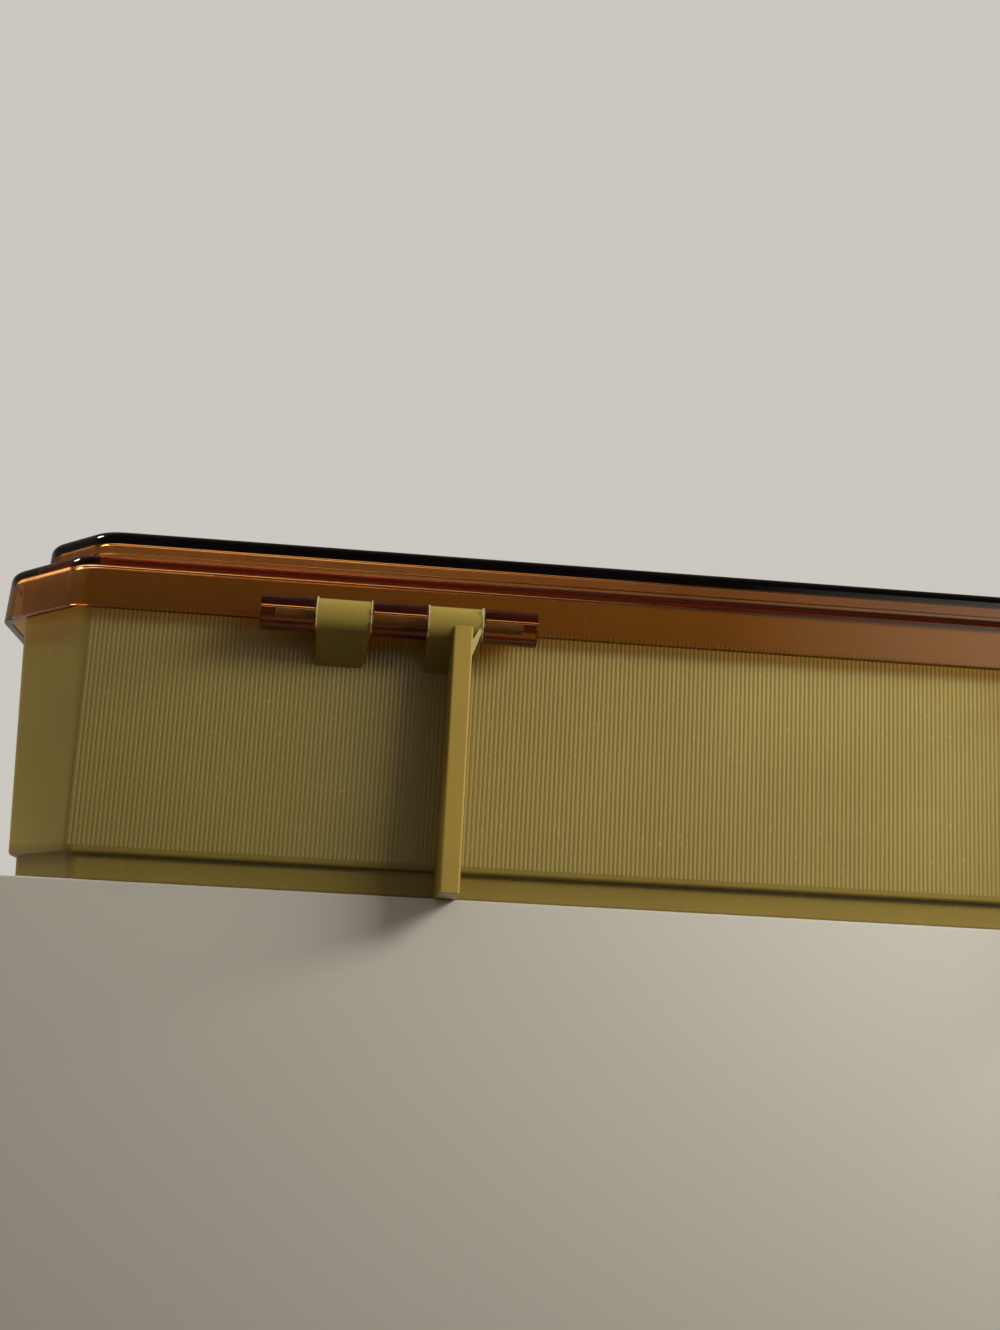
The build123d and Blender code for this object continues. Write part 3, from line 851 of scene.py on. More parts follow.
@dataclass(frozen=True)
class Hinge:
    """One five-knuckle hinge: its knuckles, pin and standing leg."""

    side: Side
    plan: BoxOutline
    x: float = 93.0
    out: float = 9.6
    knuckle: float = 12.0
    gap: float = 0.35
    radius: float = 3.9
    lug_drop: float = 9.1
    lug_taper: float = 1.5
    web_rise: float = 5.4
    pin_radius: float = 1.25
    pin_length: float = 55.0
    flash_stand: float = 0.42
    flash_thick: float = 0.28
    leg_x: float = 78.9
    leg_out: float = 13.85
    leg_width: float = 4.2
    leg_root: float = 5.3
    leg_top_drop: float = 1.1
    leg_sink: float = 4.4
    lug_sink: float = 1.2
    taper_start: float = 3.0
    flash_from: float = -62.0
    flash_turn: float = 5.1
    flash_points: int = 49
    flash_mean: float = 0.55
    flash_wave: float = 0.3
    flash_ripple: float = 0.15
    flash_root: float = 0.3
    flash_web: Point = (0.5, 0.15)
    skirt_face: float = 4.7
    skirt_inside: float = 3.3
    edge: float = 0.3
    lug_top: float = 0.6
    barrel_end: float = 189.0
    barrel_steps: int = 34
    lid_barrel_start: float = 176.5
    lid_barrel_steps: int = 42
    lid_lift: float = 0.25
    leg_round: float = 0.45

    @property
    def axis(self) -> Point:
        """The hinge line, as y and z."""
        return self.plan.half_y + self.out, self.plan.edge_z

    def span(self, index: int) -> Point:
        """X range of a knuckle; index 0 is nearest the end of the box.

        Args:
            index: Which of the five knuckles.

        Returns:
            Its lowest and highest x.
        """
        centre = self.x + (2 - index) * (self.knuckle + self.gap)
        low, high = centre - self.knuckle / 2, centre + self.knuckle / 2
        return (low, high) if self.side is Side.RIGHT else (-high, -low)

    def tub_knuckle_outline(self) -> list[Point]:
        """Section of a tub knuckle: a barrel on a lug that slopes in to the wall.

        Returns:
            The outline as y and z.
        """
        y, z = self.axis
        foot = z - self.lug_drop
        foot_y = self.plan.half_y + self.plan.wall(foot)
        away = math.hypot(y - foot_y, self.lug_drop)
        slope = math.degrees(math.atan2(self.lug_drop, y - foot_y) - math.asin(self.radius / away))
        inside = self.plan.half_y - self.lug_sink
        barrel = arc((y, z), self.radius, slope - 90.0, self.barrel_end, self.barrel_steps)
        return barrel + [(inside, z - self.lug_top), (inside, foot), (foot_y, foot)]

    def tub_knuckle(self, index: int) -> Solid:
        """A tub knuckle, its lug narrower towards the foot on the side that faces the middle of the box.

        Args:
            index: Which of the five knuckles.

        Returns:
            The knuckle as a closed solid.
        """
        points, faces = bar(self.tub_knuckle_outline(), *self.span(index), Run.ALONG_X, self.edge)
        z = self.axis[1]
        outer_end = max(abs(x) for x in self.span(index))
        tapered = []
        for x, y, height in points:
            drop = (z - self.taper_start - height) / (self.lug_drop - self.taper_start)
            drop = min(1.0, max(0.0, drop))
            shift = self.lug_taper * drop * (outer_end - abs(x)) / self.knuckle
            tapered.append((x + self.side.value * shift, y, height))
        return tapered, faces

    def flash(self) -> list[Solid]:
        """Ragged moulding flash: thin crescents at the ends of the tub knuckles, and a web down to the leg.

        Returns:
            The crescents and the web as closed solids.
        """
        y, z = self.axis
        half_thick = self.flash_thick / 2
        solids = []
        for seed, end in enumerate((*self.span(1), *self.span(3))):
            crest = []
            for step in range(self.flash_points):
                angle = math.radians(self.flash_from + self.flash_turn * step)
                wave = self.flash_wave * math.sin(9.0 * angle + 2.0 * seed)
                ripple = self.flash_ripple * math.sin(23.0 * angle + seed)
                reach = self.radius + self.flash_stand * (self.flash_mean + wave + ripple)
                crest.append((y + reach * math.cos(angle), z + reach * math.sin(angle)))
            far = self.flash_from + self.flash_turn * (self.flash_points - 1)
            root = arc((y, z), self.radius - self.flash_root, far, self.flash_from, 24)
            solids.append(bar(crest + root, end - half_thick, end + half_thick, Run.ALONG_X, 0.0))
        end = min(abs(x) for x in self.span(3))
        leg_side = self.leg_x - self.leg_width / 2 + 0.1
        web = [(end - 0.15, z + 3.3), (end + 0.35, z + 3.4), (end + 0.7, z - 1.2), (leg_side, z - 4.2),
               (leg_side, z - 8.0), (end + 1.5, z - 6.0), (end + 0.3, z - 2.4), (end - 0.2, z - 0.4)]
        outline = [(self.side.value * x, height) for x, height in web]
        back, front = (y + self.radius - inset for inset in self.flash_web)
        solids.append(bar(outline, back, front, Run.ALONG_Y, 0.08))
        return solids

    def lid_knuckle(self, index: int) -> Solid:
        """Barrel joined to the skirt by a sloping web.

        Args:
            index: Which of the five knuckles.

        Returns:
            The knuckle as a closed solid.
        """
        y, z = self.axis
        face = self.plan.half_y + self.skirt_face - self.plan.lean_in(z + self.web_rise)
        away = math.hypot(y - face, self.web_rise)
        fall = math.degrees(math.asin(self.radius / away) - math.atan2(self.web_rise, y - face))
        inside = self.plan.half_y + self.skirt_inside
        outline = [(inside, z + self.lid_lift)]
        outline += arc((y, z), self.radius, self.lid_barrel_start, 450.0 + fall, self.lid_barrel_steps)
        outline += [(face, z + self.web_rise), (inside, z + self.web_rise)]
        return bar(outline, *self.span(index), Run.ALONG_X, self.edge)

    def leg(self) -> Solid:
        """Standing leg, wider at its root, its face upright.

        Returns:
            The leg as a closed solid.
        """
        top = self.axis[1] - self.leg_top_drop
        face = self.plan.half_y + self.leg_out
        root = self.plan.half_y - self.leg_sink
        centre = self.side.value * self.leg_x
        half_root, half_face = self.leg_root / 2, self.leg_width / 2
        outline = [(centre - half_root, root), (centre + half_root, root),
                   (centre + half_face, face), (centre - half_face, face)]
        radii = [0, 0, self.leg_round, self.leg_round]
        return bar(rounded(outline, radii, 4), 0.0, top, Run.ALONG_Z, self.edge)

    def pin(self, radius: float, extra: float = 0.0) -> Solid:
        """Rod on the hinge line; a larger one cuts the bore.

        Args:
            radius: The rod's radius.
            extra: How far it runs past the pin at each end.

        Returns:
            The rod as a closed solid.
        """
        centre = self.side.value * self.x
        half = self.pin_length / 2 + extra
        return rod(centre - half, centre + half, *self.axis, radius)


@dataclass(frozen=True)
class Latch:
    """One snap latch with its ears, pin and striker."""

    side: Side
    plan: BoxOutline
    x: float = 106.0
    pivot_z: float = 66.0
    pivot_out: float = 9.2
    width: float = 26.0
    plate: float = 2.0
    drop: float = 23.0
    barrel: float = 2.8
    ear: float = 2.6
    ear_radius: float = 3.2
    side_gap: float = 0.4
    pin_radius: float = 1.0
    nose_top: float = 18.7
    nose_height: float = 2.2
    nose_reach: float = 2.3
    lip: float = 3.0
    grip_ribs: int = 4
    grip_pitch: float = 2.4
    grip_start: float = 5.0
    grip_margin: float = 4.0
    grip_sink: float = 0.1
    grip_radius: float = 0.55
    ear_top_drop: float = 0.4
    ear_neck: float = 1.6
    ear_foot: float = 5.4
    skirt_inside: float = 3.3
    striker_half: float = 10.0
    striker_out: float = 6.2
    striker_sink: float = 1.7
    striker_low: float = 48.1
    striker_edge: float = 1.5
    striker_root: float = 5.0

    @property
    def axis(self) -> Point:
        """The pivot line, as y and z."""
        return -(self.plan.half_y + self.pivot_out), self.pivot_z

    @property
    def centre(self) -> float:
        """X of the latch's middle."""
        return self.side.value * self.x

    def ear_spans(self) -> list[Point]:
        """X ranges of the lid's two ears.

        Returns:
            The lowest and highest x of each ear.
        """
        half = self.width / 2 + self.side_gap
        low, high = self.centre - half, self.centre + half
        return [(low - self.ear, low), (high, high + self.ear)]

    def ears(self) -> list[Solid]:
        """The two ears, each round about the pivot and running in to the skirt.

        Returns:
            The ears as closed solids.
        """
        y, z = self.axis
        inside = -(self.plan.half_y + self.skirt_inside)
        top = z + self.ear_radius - self.ear_top_drop
        outline = [(inside, top), (y + self.ear_neck, top), *eye((y, z), self.ear_radius)]
        outline.append((inside, z - self.ear_foot))
        return [bar(outline, *span, Run.ALONG_X, 0.25) for span in self.ear_spans()]

    def body(self) -> list[Solid]:
        """Barrel, plate with hook nose and finger lip, and grip ribs across the plate.

        Returns:
            The latch's solids, which overlap.
        """
        y, z = self.axis
        low, high = self.centre - self.width / 2, self.centre + self.width / 2
        inner, outer, foot = y + self.plate / 2, y - self.plate / 2, z - self.drop
        top = z - self.nose_top
        corners = [(outer, z), (outer, foot + 2.4), (outer - self.lip, foot + 0.4),
                   (outer - self.lip, foot - 1.0), (inner, foot), (inner, top - self.nose_height),
                   (y + self.nose_reach, top - 0.4 * self.nose_height),
                   (y + self.nose_reach, top), (inner, top), (inner, z)]
        outline = rounded(corners, [0, 1.6, 0.5, 0.6, 0.8, 0.4, 0.3, 0.25, 0.4, 0], 4)
        solids = [bar(outline, low, high, Run.ALONG_X, 0.5), rod(low, high, y, z, self.barrel, edge=0.4)]
        left, right = low + self.grip_margin, high - self.grip_margin
        for step in range(self.grip_ribs):
            height = foot + self.grip_start + self.grip_pitch * step
            rib_y = outer + self.grip_sink
            solids.append(rod(left, right, rib_y, height, self.grip_radius, steps=12, edge=0.3))
        return solids

    def pin(self) -> Solid:
        """Steel pin through latch and ears."""
        spans = self.ear_spans()
        return rod(spans[0][0], spans[1][1], *self.axis, self.pin_radius)

    def striker(self) -> Solid:
        """Ledge on the tub that the nose hooks under.

        Returns:
            The ledge as a closed solid.
        """
        edge_y = -(self.plan.half_y + self.striker_out)
        inside = -(self.plan.half_y - self.striker_sink)
        low = self.striker_low
        corners = [(inside, low), (edge_y, low), (edge_y, low + self.striker_edge),
                   (inside, low + self.striker_root)]
        outline = rounded(corners, [0, 0.35, 0.5, 0], 4)
        half = self.striker_half
        return bar(outline, self.centre - half, self.centre + half, Run.ALONG_X, 0.4)


@dataclass(frozen=True)
class Handle:
    """Folding bail handle, its ears and pins."""

    plan: BoxOutline
    half: float = 69.0
    arm: float = 8.0
    pivot_z: float = 44.0
    pivot_out: float = 6.75
    low: float = 8.0
    grip: float = 11.0
    depth: float = 7.0
    bend: float = 14.0
    boss: float = 3.9
    ear: float = 3.0
    ear_radius: float = 4.2
    ear_drop: float = 7.0
    side_gap: float = 0.35
    pin_radius: float = 1.25
    ear_sink: float = 2.1
    edge: float = 2.6
    bend_steps: int = 10
    inner_bend_more: float = 2.0

    @property
    def axis(self) -> Point:
        """The pivot line, as y and z."""
        return -(self.plan.half_y + self.plan.wall(self.pivot_z) + self.pivot_out), self.pivot_z

    def ear_spans(self, side: Side) -> list[Point]:
        """X ranges of the two ears at one arm.

        Args:
            side: Which arm.

        Returns:
            The lowest and highest x of each ear.
        """
        high = self.half - self.arm - self.side_gap
        low = self.half + self.side_gap
        spans = [(high - self.ear, high), (low, low + self.ear)]
        return spans if side is Side.RIGHT else [(-b, -a) for a, b in reversed(spans)]

    def ears(self) -> list[Solid]:
        """The four ears on the tub's front.

        Returns:
            The ears as closed solids.
        """
        y, z = self.axis
        inside = -(self.plan.half_y - self.ear_sink)
        front = eye((y, z), self.ear_radius)
        outline = [(inside, z + self.ear_drop), *front, (inside, z - self.ear_drop)]
        return [bar(outline, *span, Run.ALONG_X, 0.3) for side in Side for span in self.ear_spans(side)]

    def bail(self) -> list[Solid]:
        """The bail: one rounded section carried round arms and grip, with a boss at each pivot.

        Returns:
            The bail's solids, which overlap.
        """
        y, z = self.axis
        outer = rounded([(-self.half, z), (-self.half, self.low), (self.half, self.low), (self.half, z)],
                        [0, self.bend, self.bend, 0], self.bend_steps, closed=False)
        gap_half = self.half - self.arm
        gap_low = self.low + self.grip
        gap_bend = self.bend - self.arm + self.inner_bend_more
        inner = rounded([(-gap_half, z), (-gap_half, gap_low), (gap_half, gap_low), (gap_half, z)],
                        [0, gap_bend, gap_bend, 0], self.bend_steps, closed=False)
        half_deep = self.depth / 2
        rings = []
        for (outer_x, outer_z), (inner_x, inner_z) in zip(outer, inner):
            width = math.hypot(outer_x - inner_x, outer_z - inner_z)
            corners = [(0, -half_deep), (width, -half_deep), (width, half_deep), (0, half_deep)]
            section = rounded(corners, [self.edge] * 4, 6)
            ring = []
            for across, deep in section:
                share = across / width
                x = outer_x + (inner_x - outer_x) * share
                ring.append((x, y + deep, outer_z + (inner_z - outer_z) * share))
            rings.append(ring)
        solids = [skinned(rings)]
        for side in Side:
            low, high = sorted((side.value * (self.half - self.arm), side.value * self.half))
            solids.append(rod(low, high, y, z, self.boss, edge=0.35))
        return solids

    def pin(self, side: Side) -> Solid:
        """Steel pin through one arm and its ears."""
        spans = self.ear_spans(side)
        return rod(spans[0][0], spans[1][1], *self.axis, self.pin_radius)


@dataclass
class Tub:
    """The moulded tub with everything moulded on it."""

    plan: BoxOutline
    hinges: Sequence[Hinge]
    latches: Sequence[Latch]
    handle: Handle
    finishes: Finishes
    top: float = 69.9
    wall: float = 2.2
    floor: float = 2.4
    band: float = 5.8
    band_inset: float = 1.7
    band_step: float = 1.8
    bend: float = 4.0
    flute_pitch: float = 1.016
    flute_radius: float = 1.28
    flute_stand: float = 0.093
    flute_half_angle: float = 22.0
    flute_top: float = 61.8
    rest_top: float = 37.6
    rest_plate: float = 2.0
    rest_reach_x: float = 169.9
    rest_reach_y: float = 106.9
    rest_end_y: tuple[float, ...] = (-70.0, 0.0, 70.0)
    rest_side_x: tuple[float, ...] = (45.0, 130.0)
    bore_gap: float = 0.1
    bore_extra: float = 4.0
    sunk: float = 0.15
    corner_share: float = 0.3
    flute_foot_gap: float = 1.7
    underside_ring: float = 8.0
    floor_ring: float = 14.0
    pieces: list[Piece] = field(default_factory=list)

    def keep(self, piece: Piece) -> Piece:
        """Ride a piece on the tub's body and note it.

        Args:
            piece: The finished piece.

        Returns:
            The same piece.
        """
        even_out(piece)
        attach(piece, "tub")
        self.pieces.append(piece)
        log.info("%s: %d faces", piece.name, len(piece.data.polygons))
        return piece

    def shell(self) -> Piece:
        """Walls, foot band and floor in one skin.

        Returns:
            The kept piece.
        """
        wall_at = self.plan.wall
        step_z = self.band + self.band_step
        bend, inner_bend = self.bend, self.bend - self.wall
        band_foot = wall_at(0.0) - self.band_inset
        band_top = wall_at(self.band) - self.band_inset
        levels = [
            (band_foot - self.underside_ring, 0.0, 0.0, bend),
            (band_foot, 0.0, 0.8, bend),
            (band_top, self.band, 0.15, bend),
            (wall_at(self.band), self.band, 1.5, bend),
            (wall_at(self.top), self.top, 0.5, bend),
            (wall_at(self.top) - self.wall, self.top, 0.5, inner_bend),
            (wall_at(step_z) - self.wall, step_z, 0.8, inner_bend),
            (wall_at(step_z) - self.wall - self.band_inset, step_z, 0.6, inner_bend),
            (wall_at(self.floor) - self.wall - self.band_inset, self.floor, 1.0, inner_bend),
            (wall_at(self.floor) - self.floor_ring, self.floor, 0.0, inner_bend),
        ]
        return self.keep(make_piece("tub_shell", [self.plan.shell(levels)], self.finishes.shell))

    def flutes(self) -> None:
        """Upright beads on the four long panels; the corner panels stay plain."""
        tree = flute_tree()
        foot, top = self.band + self.flute_foot_gap, self.flute_top
        sink = self.flute_radius - self.flute_stand
        for wall in Wall:
            long_wall = wall in (Wall.BACK, Wall.FRONT)
            half = self.plan.half_y if long_wall else self.plan.half_x
            margin = self.plan.corner + (self.corner_share if long_wall else 1.0) * self.bend
            flat = (self.plan.length if long_wall else self.plan.depth) - 2 * margin
            values = {
                "Count": int(flat / self.flute_pitch) + 1,
                "Pitch": self.flute_pitch * MM,
                "Foot": foot * MM,
                "Top": top * MM,
                "Foot Out": (half + self.plan.wall(foot) - sink) * MM,
                "Top Out": (half + self.plan.wall(top) - sink) * MM,
                "Bead Radius": self.flute_radius * MM,
                "Bead Half Angle": math.radians(self.flute_half_angle),
                "Turn": wall.value,
                "Material": self.finishes.fluted,
            }
            self.keep(grow_piece(f"tub_flutes_{wall.name.lower()}", tree, values))

    def fittings(self) -> None:
        """Knuckles, legs, strikers and handle ears."""
        olive = self.finishes.olive
        for hinge in self.hinges:
            pair = [hinge.tub_knuckle(1), hinge.tub_knuckle(3)]
            knuckles = make_piece(f"tub_knuckles_{hinge.side.word}", pair, olive)
            bore = hinge.pin(hinge.pin_radius + self.bore_gap, self.bore_extra)
            combine(knuckles, make_piece("bore", [bore], olive), "DIFFERENCE")
            self.keep(knuckles)
            self.keep(make_piece(f"standing_leg_{hinge.side.word}", [hinge.leg()], self.finishes.leg))
            self.keep(make_piece(f"hinge_flash_{hinge.side.word}", hinge.flash(), self.finishes.flash))
        for latch in self.latches:
            self.keep(make_piece(f"striker_{latch.side.word}", [latch.striker()], olive))
        self.keep(make_piece("handle_ears", self.handle.ears(), olive))

    def wall_section(self, half: float, reach: float) -> list[Point]:
        """Section of an upright plate that fits against the inside of a wall.

        Args:
            half: Half the box's size towards that wall.
            reach: How far from the middle the plate's free edge stands.

        Returns:
            The section's corners as distance from the middle and height.
        """
        step_z = self.band + self.band_step
        upper = half - self.wall + self.sunk
        lower = upper + self.plan.wall(step_z) - self.band_inset
        return [
            (reach, self.floor - self.sunk),
            (lower, self.floor - self.sunk),
            (lower, step_z),
            (upper + self.plan.wall(step_z), step_z),
            (upper + self.plan.wall(self.rest_top), self.rest_top),
            (reach, self.rest_top),
        ]

    def rests(self) -> None:
        """Partition and wall ribs inside the tub that carry the trays."""
        half_plate = self.rest_plate / 2
        across = self.wall_section(self.plan.half_y, 0.0)[1:-1]
        across += [(-y, z) for y, z in reversed(across)]
        plate = bar(across, -half_plate, half_plate, Run.ALONG_X, 0.3)
        partition = make_piece("partition_plate", [plate], self.finishes.olive)
        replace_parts(self.keep(partition), "tray_partition")
        end_section = self.wall_section(self.plan.half_x, self.rest_reach_x)
        side_section = self.wall_section(self.plan.half_y, self.rest_reach_y)
        ribs = []
        for way in (-1, 1):
            towards_end = [(way * out, z) for out, z in end_section]
            for y in self.rest_end_y:
                ribs.append(bar(towards_end, y - half_plate, y + half_plate, Run.ALONG_Y, 0.3))
            towards_side = [(way * out, z) for out, z in side_section]
            for x in (-self.rest_side_x[1], -self.rest_side_x[0], *self.rest_side_x):
                ribs.append(bar(towards_side, x - half_plate, x + half_plate, Run.ALONG_X, 0.3))
        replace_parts(self.keep(make_piece("wall_ribs", ribs, self.finishes.olive)), "tray_rest_ribs")

    def build(self) -> None:
        """Build the tub and let it stand for its construction solid."""
        shell = self.shell()
        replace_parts(shell, "base_tub", "tub_floor")
        self.flutes()
        self.fittings()
        self.rests()


@dataclass
class Lid:
    """The transparent stepped lid."""

    plan: BoxOutline
    hinges: Sequence[Hinge]
    latches: Sequence[Latch]
    finishes: Finishes
    overhang: float = 4.7
    wall: float = 2.0
    roof: float = 2.8
    skirt_top: float = 72.2
    setback: float = 7.9
    top: float = 80.6
    bend: float = 9.0
    step: float = 0.7
    step_rise: float = 2.6
    pad_length: float = 85.0
    pad_low: float = 1.2
    pad_high: float = 9.0
    pad_rise: float = 0.16
    pad_sink: float = 0.8
    pad_edge: float = 0.14
    bore_gap: float = 0.07
    latch_bore_gap: float = 0.05
    bore_extra: float = 4.0
    latch_bore_extra: float = 1.0
    roof_ring: float = 14.0
    ceiling_ring: float = 16.0
    step_slope: float = 0.3

    def shell_solid(self) -> Solid:
        """Skirt, ledge, tier and roof, inside and outside, in one skin.

        Returns:
            The skin as a closed solid.
        """
        lean = self.plan.lean_in
        edge_z = self.plan.edge_z
        over, wall, bend = self.overhang, self.wall, self.bend
        tier = over - self.setback + lean(self.skirt_top)
        ceiling, ledge, step_z = self.top - self.roof, self.skirt_top - wall, self.skirt_top + self.step_rise
        levels = [
            (tier - lean(self.top) - self.roof_ring, self.top, 0.0, bend),
            (tier - lean(self.top), self.top, 2.4, bend),
            (tier - lean(self.skirt_top), self.skirt_top, 0.5, bend),
            (over - lean(self.skirt_top), self.skirt_top, 2.4, bend),
            (over, edge_z, 0.35, bend),
            (over - wall, edge_z, 0.35, bend - wall),
            (over - wall - lean(ledge), ledge, 1.9, bend - wall),
            (tier - wall - lean(ledge), ledge, 0.7, bend - wall),
            (tier - wall - lean(step_z), step_z, 0.25, bend - wall),
            (tier - wall - self.step - lean(step_z), step_z + self.step_slope, 0.25, bend - wall),
            (tier - wall - self.step - lean(ceiling), ceiling, 1.0, bend - wall),
            (tier - self.ceiling_ring, ceiling, 0.0, bend - wall),
        ]
        return self.plan.shell(levels, steps=7)

    def pad(self, hinge: Hinge) -> Solid:
        """Faint raised pad on the skirt behind a hinge.

        Args:
            hinge: The hinge it lies behind.

        Returns:
            The pad as a closed solid, sunk into the skirt.
        """
        z = self.plan.edge_z
        low, high = z + self.pad_low, z + self.pad_high
        face_low = self.plan.half_y + self.overhang - self.plan.lean_in(low)
        face_high = self.plan.half_y + self.overhang - self.plan.lean_in(high)
        outline = [(face_low - self.pad_sink, low), (face_low + self.pad_rise, low),
                   (face_high + self.pad_rise, high), (face_high - self.pad_sink, high)]
        centre, half = hinge.side.value * hinge.x, self.pad_length / 2
        return bar(outline, centre - half, centre + half, Run.ALONG_X, self.pad_edge)

    def build(self) -> None:
        """Build the lid as one closed skin and let it stand for its construction solid."""
        amber = self.finishes.amber
        lid = make_piece("amber_lid", [self.shell_solid()], amber)
        for hinge in self.hinges:
            combine(lid, make_piece("pad", [self.pad(hinge)], amber), "UNION")
            knuckles = [hinge.lid_knuckle(index) for index in (0, 2, 4)]
            combine(lid, make_piece("knuckles", knuckles, amber), "UNION")
            bore = hinge.pin(hinge.pin_radius + self.bore_gap, self.bore_extra)
            combine(lid, make_piece("bore", [bore], amber), "DIFFERENCE")
        for latch in self.latches:
            combine(lid, make_piece("ears", latch.ears(), amber), "UNION")
            spans = latch.ear_spans()
            low, high = spans[0][0] - self.latch_bore_extra, spans[1][1] + self.latch_bore_extra
            bore = rod(low, high, *latch.axis, latch.pin_radius + self.latch_bore_gap)
            combine(lid, make_piece("bore", [bore], amber), "DIFFERENCE")
        finish_mesh(lid.data, amber)
        even_out(lid)
        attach(lid, "lid")
        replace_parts(lid, "lid_shell")
        log.info("%s: %d faces", lid.name, len(lid.data.polygons))


@dataclass
class Trays:
    """The two lift-out trays and their loose dividers."""

    plan: BoxOutline
    finishes: Finishes
    inset: float = 7.6
    middle_gap: float = 0.5
    wall: float = 1.6
    low: float = 37.8
    top: float = 66.0
    lanes: int = 3
    slot_pitch: float = 36.75
    slot_count: int = 5
    slot_gap: float = 2.0
    slot_rib: float = 1.2
    slot_depth: float = 1.3
    slot_drop: float = 2.0
    scoop_width: float = 32.0
    scoop_depth: float = 9.0
    scoop_past: float = 0.6
    sunk: float = 0.3
    plate: float = 1.5
    plate_side_gap: float = 0.35
    plate_foot_gap: float = 0.2
    plate_top: float = 63.5
    notch: float = 5.0
    notch_radius: float = 16.0
    underside_ring: float = 6.0
    floor_ring: float = 8.0

    def half_plan(self) -> list[Point]:
        """Plan of the right-hand tray, anticlockwise.

        Returns:
            The corners as x and y.
        """
        whole = grown(self.plan.corners(), -self.inset)
        right = [corner for corner in whole if corner[0] > 0]
        right.sort(key=lambda corner: math.atan2(corner[1], corner[0]))
        return [(self.middle_gap, right[0][1]), *right, (self.middle_gap, right[-1][1])]

    def lane_spans(self) -> list[Point]:
        """X ranges of the lanes in the right-hand tray.

        Returns:
            The lowest and highest x of each lane, from the middle of the box outwards.
        """
        low = self.middle_gap + self.wall
        high = self.plan.half_x - self.inset - self.wall
        lane = (high - low - (self.lanes - 1) * self.wall) / self.lanes
        starts = [low + place * (lane + self.wall) for place in range(self.lanes)]
        return [(start, start + lane) for start in starts]

    def body(self, side: Side) -> Piece:
        """The tray's shell, with its finger scoop.

        Args:
            side: Which tray.

        Returns:
            The dressed shell, which stands for the construction solid.
        """
        finish = self.finishes.tray
        plan = self.half_plan()
        if side is Side.LEFT:
            plan = [(-x, y) for x, y in reversed(plan)]
        floor = self.low + self.wall
        levels = [
            (-self.underside_ring, self.low, 0.0, 1.2),
            (0.0, self.low, 0.8, 1.4),
            (0.0, self.top, 0.5, 1.4),
            (-self.wall, self.top, 0.5, 0.8),
            (-self.wall, floor, 0.8, 0.8),
            (-self.floor_ring, floor, 0.0, 0.8),
        ]
        tray = make_piece(f"tray_{side.word}_shell", [self.plan.shell(levels, plan)], finish)
        radius = self.scoop_width / 2
        scoop = arc((0.0, self.top + radius - self.scoop_depth), radius, 0.0, 360.0, 64)[:-1]
        low, high = sorted((0.0, side.value * (self.middle_gap + self.wall + self.scoop_past)))
        cutter = make_piece("scoop", [bar(scoop, low, high, Run.ALONG_X, 0.0)], finish)
        combine(tray, cutter, "DIFFERENCE")
        finish_mesh(tray.data, finish)
        even_out(tray)
        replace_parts(tray, f"tray_{side.word}")
        return tray

    def lane_walls(self, side: Side) -> Piece:
        """The walls between the lanes of a tray.

        Args:
            side: Which tray.

        Returns:
            The walls in one piece.
        """
        spans = self.lane_spans()
        reach = self.plan.half_y - self.inset - self.wall + self.sunk
        foot, top = self.low + self.wall - self.sunk, self.top - self.slot_drop
        walls = []
        for before, after in zip(spans[:-1], spans[1:]):
            x_low, x_high = sorted((side.value * before[1], side.value * after[0]))
            corners = [(x_low, foot), (x_high, foot), (x_high, top), (x_low, top)]
            walls.append(bar(rounded(corners, [0, 0, 0.5, 0.5], 3), -reach, reach, Run.ALONG_Y, 0.0))
        return make_piece(f"tray_{side.word}_lane_walls", walls, self.finishes.tray)

    def slot_ribs(self, side: Side, lane: Lane) -> Piece:
        """The slot ribs along both walls of one lane.

        In the inner lane, which has the finger scoop, all of them are lower by the scoop's depth.

        Args:
            side: Which tray.
            lane: Which lane.

        Returns:
            The ribs in one piece.
        """
        x_low, x_high = sorted(side.value * x for x in self.lane_spans()[lane.value])
        floor = self.low + self.wall
        lowered = self.scoop_depth if lane is Lane.INNER else 0.0
        values = {
            "Count": self.slot_count,
            "Pitch": self.slot_pitch * MM,
            "Gap": self.slot_gap * MM,
            "Thickness": self.slot_rib * MM,
            "Depth": self.slot_depth * MM,
            "Height": (self.top - self.slot_drop - lowered - floor) * MM,
            "Low Wall": x_low * MM,
            "High Wall": x_high * MM,
            "Foot": floor * MM,
            "Material": self.finishes.tray,
        }
        return grow_piece(f"tray_{side.word}_slot_ribs_{lane.word}", slot_tree(), values)

    def tray(self, side: Side) -> None:
        """One tray: shell, lane walls and slot ribs.

        Args:
            side: Which tray.
        """
        pieces = [self.body(side), self.lane_walls(side), *(self.slot_ribs(side, lane) for lane in Lane)]
        for piece in pieces:
            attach(piece, f"tray_{side.word}")
            log.info("%s: %d faces", piece.name, len(piece.data.polygons))

